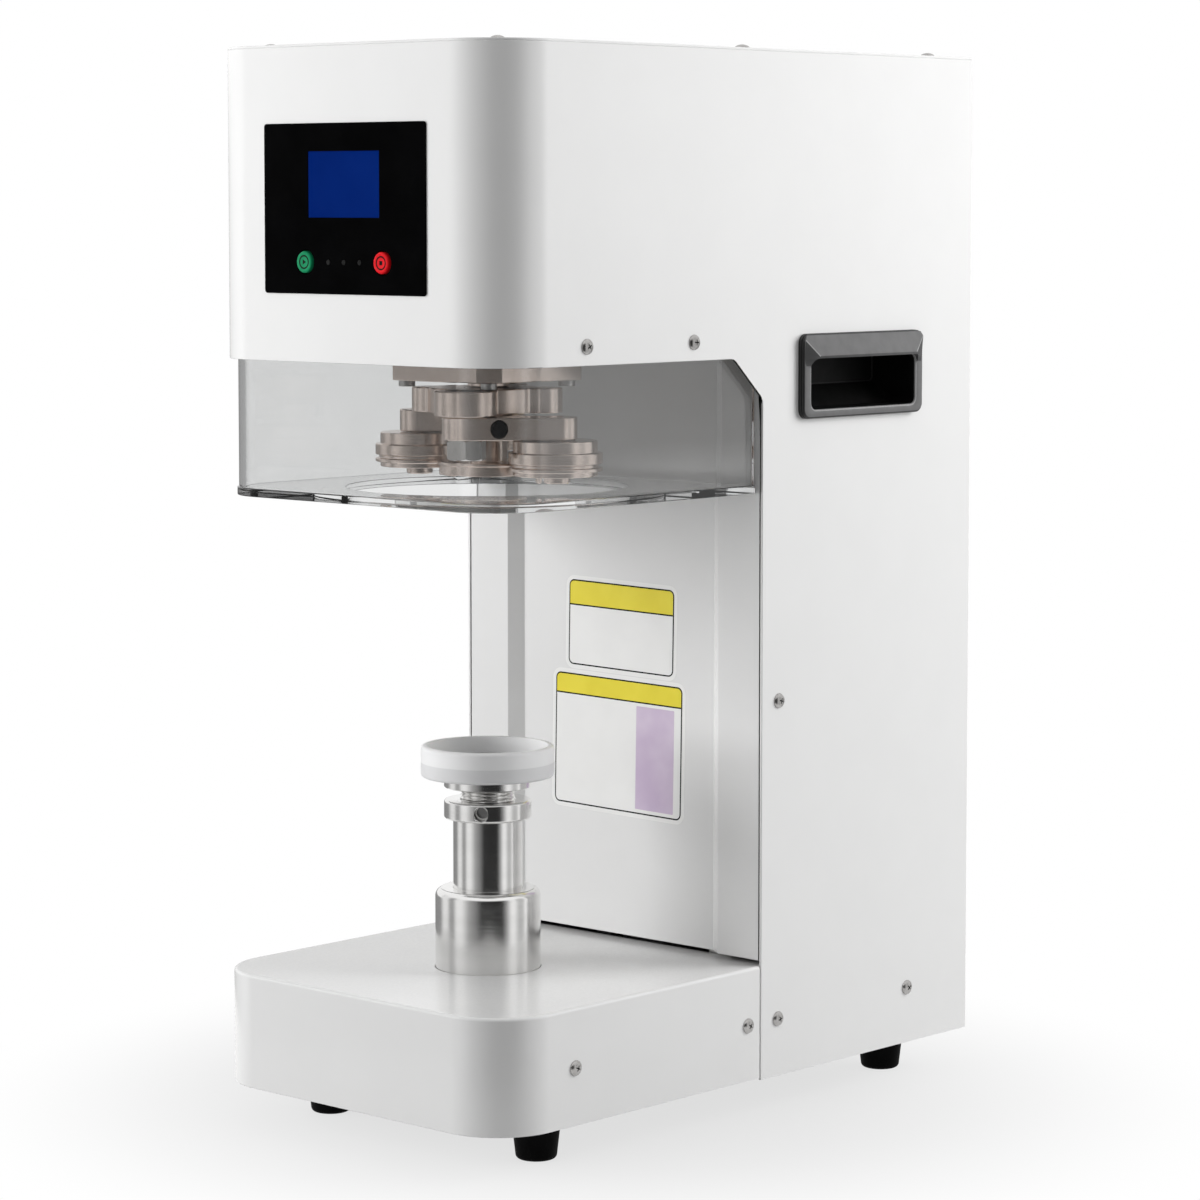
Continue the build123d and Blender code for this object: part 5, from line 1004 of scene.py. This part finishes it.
# %% Sticker films
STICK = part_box("column_panel")[1].y - SHEET
place = Matrix.Translation((0, STICK, 0)) @ FACE
FILM, TILT = 0.05 * MM, math.radians(-1.0)
MARGIN, LINE, ROUND = 2.6 * MM, 0.9 * MM, 4.0 * MM


def lay(name, pivot, outline, slot, level):
    """One film on the panel: an outline round the sticker's middle, raised by level films."""
    plate = film(outline, thick=FILM)
    plate.transform(place @ Matrix.Translation((*pivot, level * FILM)) @ Matrix.Rotation(TILT, 4, "Z"))
    return stand_in(new_piece(name, plate, slot), "frame")


def sheet_of(wide, tall, grow):
    """The sticker's outline, grown or shrunk all round."""
    return rounded_box((0, 0), wide + 2 * grow, tall + 2 * grow, ROUND + grow)


STICKERS = (
    ("upper", (3.0 * MM, 292.5 * MM), 88.4 * MM, 54.2 * MM, 15.0 * MM),
    ("lower", (0.4 * MM, 218.0 * MM), 106.8 * MM, 83.4 * MM, 12.0 * MM),
)
for word, pivot, wide, tall, band in STICKERS:
    lay(word + "_sticker", pivot, sheet_of(wide, tall, MARGIN), "film_white", 0)
    lay(word + "_sticker_edge", pivot, sheet_of(wide, tall, 0), "film_black", 1)
    field = sheet_of(wide, tall, -LINE)
    lay(word + "_sticker_field", pivot, field, "film_white", 2)
    half, foot = wide / 2 - LINE, tall / 2 - LINE - band
    banner = [*field[: len(field) // 2], (-half, foot), (half, foot)]
    lay(word + "_sticker_band", pivot, banner, "film_yellow", 3)
    lay(word + "_sticker_rule", pivot, rounded_box((0, foot), 2 * half, LINE, 0.1 * MM), "film_black", 4)
patch = rounded_box((31.2 * MM, -6.1 * MM), 31.5 * MM, 65.0 * MM, 0.5 * MM)
lay("lower_sticker_patch", pivot, patch, "film_lilac", 3)
print("two stickers on the panel")

# %% [markdown]
# ## Studio
# The machine stands in a white studio. A round pale floor under its feet catches the shadow.

# %% Floor
FLOOR_R = 0.46
PLAIN = 0.9 * FLOOR_R
bm = bmesh.new()
bmesh.ops.create_circle(bm, cap_ends=True, segments=128, radius=FLOOR_R)
floor_mesh = bpy.data.meshes.new("floor")
bm.to_mesh(floor_mesh)
bm.free()
floor = placed("floor", floor_mesh)
floor.location.z = cad_low.z
print("floor at", floor.location.z)

# %% [markdown]
# Far from the machine the floor turns plain white for the camera, so that no horizon shows. Light that
# bounces still meets plain paper, or the floor would act as a lamp.

# %% Paper of the floor
def seen_ray(tree):
    """1 where the camera, a mirror or a lens looks, 0 for light that bounces."""
    path = add_node(tree, "ShaderNodeLightPath").outputs
    total = path["Is Camera Ray"]
    for word in ("Is Glossy Ray", "Is Transmission Ray"):
        total = result(tree, "ShaderNodeMath", {0: total, 1: path[word]}, operation="MAXIMUM")
    return total


paper = bpy.data.materials.new("floor_paper")
paper.use_nodes = True
tree = paper.node_tree
shader = tree.nodes["Principled BSDF"]
feed(tree, shader, {"Base Color": (0.40, 0.40, 0.40, 1), "Roughness": 0.8})
glow = result(tree, "ShaderNodeEmission", {"Color": (1, 1, 1, 1)})
where = add_node(tree, "ShaderNodeTexCoord").outputs["Object"]
reach = add_node(tree, "ShaderNodeVectorMath", {0: where}, operation="LENGTH").outputs["Value"]
span = {"Value": reach, "From Min": 0.12, "From Max": PLAIN, "To Min": 0.68}
fade = result(tree, "ShaderNodeMapRange", span, interpolation_type="SMOOTHSTEP")
share = result(tree, "ShaderNodeMath", {0: fade, 1: seen_ray(tree)}, operation="MULTIPLY")
blend = result(tree, "ShaderNodeMixShader", {"Fac": share, 1: shader.outputs["BSDF"], 2: glow})
feed(tree, tree.nodes["Material Output"], {"Surface": blend})
floor_mesh.materials.append(paper)
print("paper fades to white at", round(PLAIN, 2), "m")

# %% [markdown]
# What polished steel looks like is what stands around it. A photographer sets up bright screens and
# dark flags for that, and so does this world: a ring of brightness steps by bearing from the camera.
# Real screens would light the white covers too, so only mirrored rays see the ring.

# %% Ring of screens
world = bpy.data.worlds.new("studio")
bpy.context.scene.world = world
world.use_nodes = True
tree = world.node_tree
sky = tree.nodes["Background"]
feed(tree, sky, {"Color": (1, 1, 1, 1)})
YAW = math.radians(42.46)
TO_CAMERA = (math.sin(YAW), -math.cos(YAW), 0)
TO_RIGHT = (math.cos(YAW), math.sin(YAW), 0)
BEHIND_LEFT = ((-180, 0.25), (-125, 0.30), (-112, 0.85), (-98, 0.85))
LEFT = ((-90, 0.35), (-80, 0.35), (-72, 0.90), (-58, 0.90), (-42, 0.40), (-24, 0.20))
FLAG = ((-12, 0.03), (34, 0.02))
RIGHT = ((44, 0.35), (54, 0.95), (62, 0.95), (74, 0.50), (84, 0.55))
BEHIND_RIGHT = ((92, 1.0), (112, 0.90), (125, 0.30), (180, 0.25))
SCREENS = BEHIND_LEFT + LEFT + FLAG + RIGHT + BEHIND_RIGHT
look = add_node(tree, "ShaderNodeTexCoord").outputs["Generated"]


def along(direction):
    """How far the look goes in a direction."""
    pair = {0: look, 1: direction}
    return add_node(tree, "ShaderNodeVectorMath", pair, operation="DOT_PRODUCT").outputs["Value"]


sides = {0: along(TO_RIGHT), 1: along(TO_CAMERA)}
bearing = result(tree, "ShaderNodeMath", sides, operation="ARCTAN2")
away = along(tuple(-c for c in TO_CAMERA))
circle_of = {"Value": bearing, "From Min": -math.pi, "From Max": math.pi}
around = result(tree, "ShaderNodeMapRange", circle_of)
ring = add_node(tree, "ShaderNodeValToRGB", {"Fac": around})
stops = ring.color_ramp.elements
while len(stops) < len(SCREENS):
    stops.new(0.5)
for stop, (degrees, level) in zip(stops, SCREENS):
    stop.position = (degrees + 180) / 360
    stop.color = (level, level, level, 1)
print("ring with", len(SCREENS), "steps of screen and dark")

# %% [markdown]
# Each kind of ray gets its own answer from the world: the camera sees white, mirrors see the ring, and
# bounced light meets a plain dim room. A ray that goes on through the clear guard would lose that
# answer, so the depth counts tell a plain look through it from a mirror or a wall behind it.

# %% Who sees what
def choose(switch, off, on):
    """off where the switch is 0, on where it is 1; each may be a number or a socket."""
    return result(tree, "ShaderNodeMix", {"Factor": switch, "A": off, "B": on})


def rises(socket, low, high):
    """A smooth step of a world value from 0 at low to 1 at high."""
    span = {"Value": socket, "From Min": low, "From Max": high}
    return result(tree, "ShaderNodeMapRange", span, interpolation_type="SMOOTHSTEP")


WHITE, ROOM, BEHIND_GUARD = 1.0, 0.36, 0.18
height = add_node(tree, "ShaderNodeSeparateXYZ", {"Vector": look}).outputs["Z"]
backdrop = choose(rises(height, 0.0, 0.06), 0.0, rises(away, 0.3, 0.6))
mirrored = choose(backdrop, ring.outputs["Color"], WHITE)
mirrored = choose(rises(height, 0.35, 0.65), mirrored, WHITE)
path = add_node(tree, "ShaderNodeLightPath").outputs
through = choose(path["Glossy Depth"], WHITE, choose(BEHIND_GUARD, mirrored, WHITE))
through = choose(path["Diffuse Depth"], through, ROOM)
level = choose(path["Is Glossy Ray"], ROOM, mirrored)
level = choose(path["Is Transmission Ray"], level, through)
level = choose(path["Is Camera Ray"], level, WHITE)
feed(tree, sky, {"Strength": level})
print("the world answers four kinds of rays")

# %% [markdown]
# Three square lamps stand for soft boxes. Two stand left and right of the camera, so the rounded corner
# nearest to it keeps a darker stripe down the middle. They are turned up, off the base, because
# the head of the real machine is lit more than its foot. All are hidden from mirrors, where the ring
# above does their work, and from looks through the guard, which would veil what is behind it.

# %% Soft boxes
CENTRE = (cad_low + cad_high) / 2
SOFT_BOXES = (
    ("left_box", (-1.28, -1.40, 0.75), 1.3, 36.3, 1.5),
    ("right_box", (1.28, 1.40, 1.10), 1.3, 41, 1.0),
    ("top_box", (0.1, -0.1, 2.6), 1.8, 7, 0.0),
)
for name, spot, wide, power, aim_z in SOFT_BOXES:
    lamp = bpy.data.lights.new(name, "AREA")
    lamp.shape = "SQUARE"
    lamp.size = wide
    lamp.energy = power
    box = placed(name, lamp)
    box.location = spot
    aim = Vector((CENTRE.x, CENTRE.y, aim_z)) - box.location
    box.rotation_euler = aim.to_track_quat("-Z", "Y").to_euler()
    box.visible_glossy = False
    box.visible_transmission = False
print(len(SOFT_BOXES), "soft boxes")

# %% [markdown]
# ## Camera
# The view was found by fitting the known corners of the machine: a long lens from the front right,
# a little above, looking slightly down. The frame is square, and a small shift sets the height in it.

# %% Camera
DIP = math.radians(4.45)
camera_data = bpy.data.cameras.new("camera")
camera_data.sensor_width = 36.0
camera_data.lens = 115.05
camera_data.shift_y = -0.0833
camera_data.clip_end = 60.0
camera = placed("camera", camera_data)
camera.location = (1.6070, -1.7548, 0.5586)
camera.rotation_euler = (math.radians(90) - DIP, 0, YAW)
bpy.context.scene.camera = camera
bpy.context.scene.view_settings.view_transform = "Standard"
print("camera", tuple(camera.location))
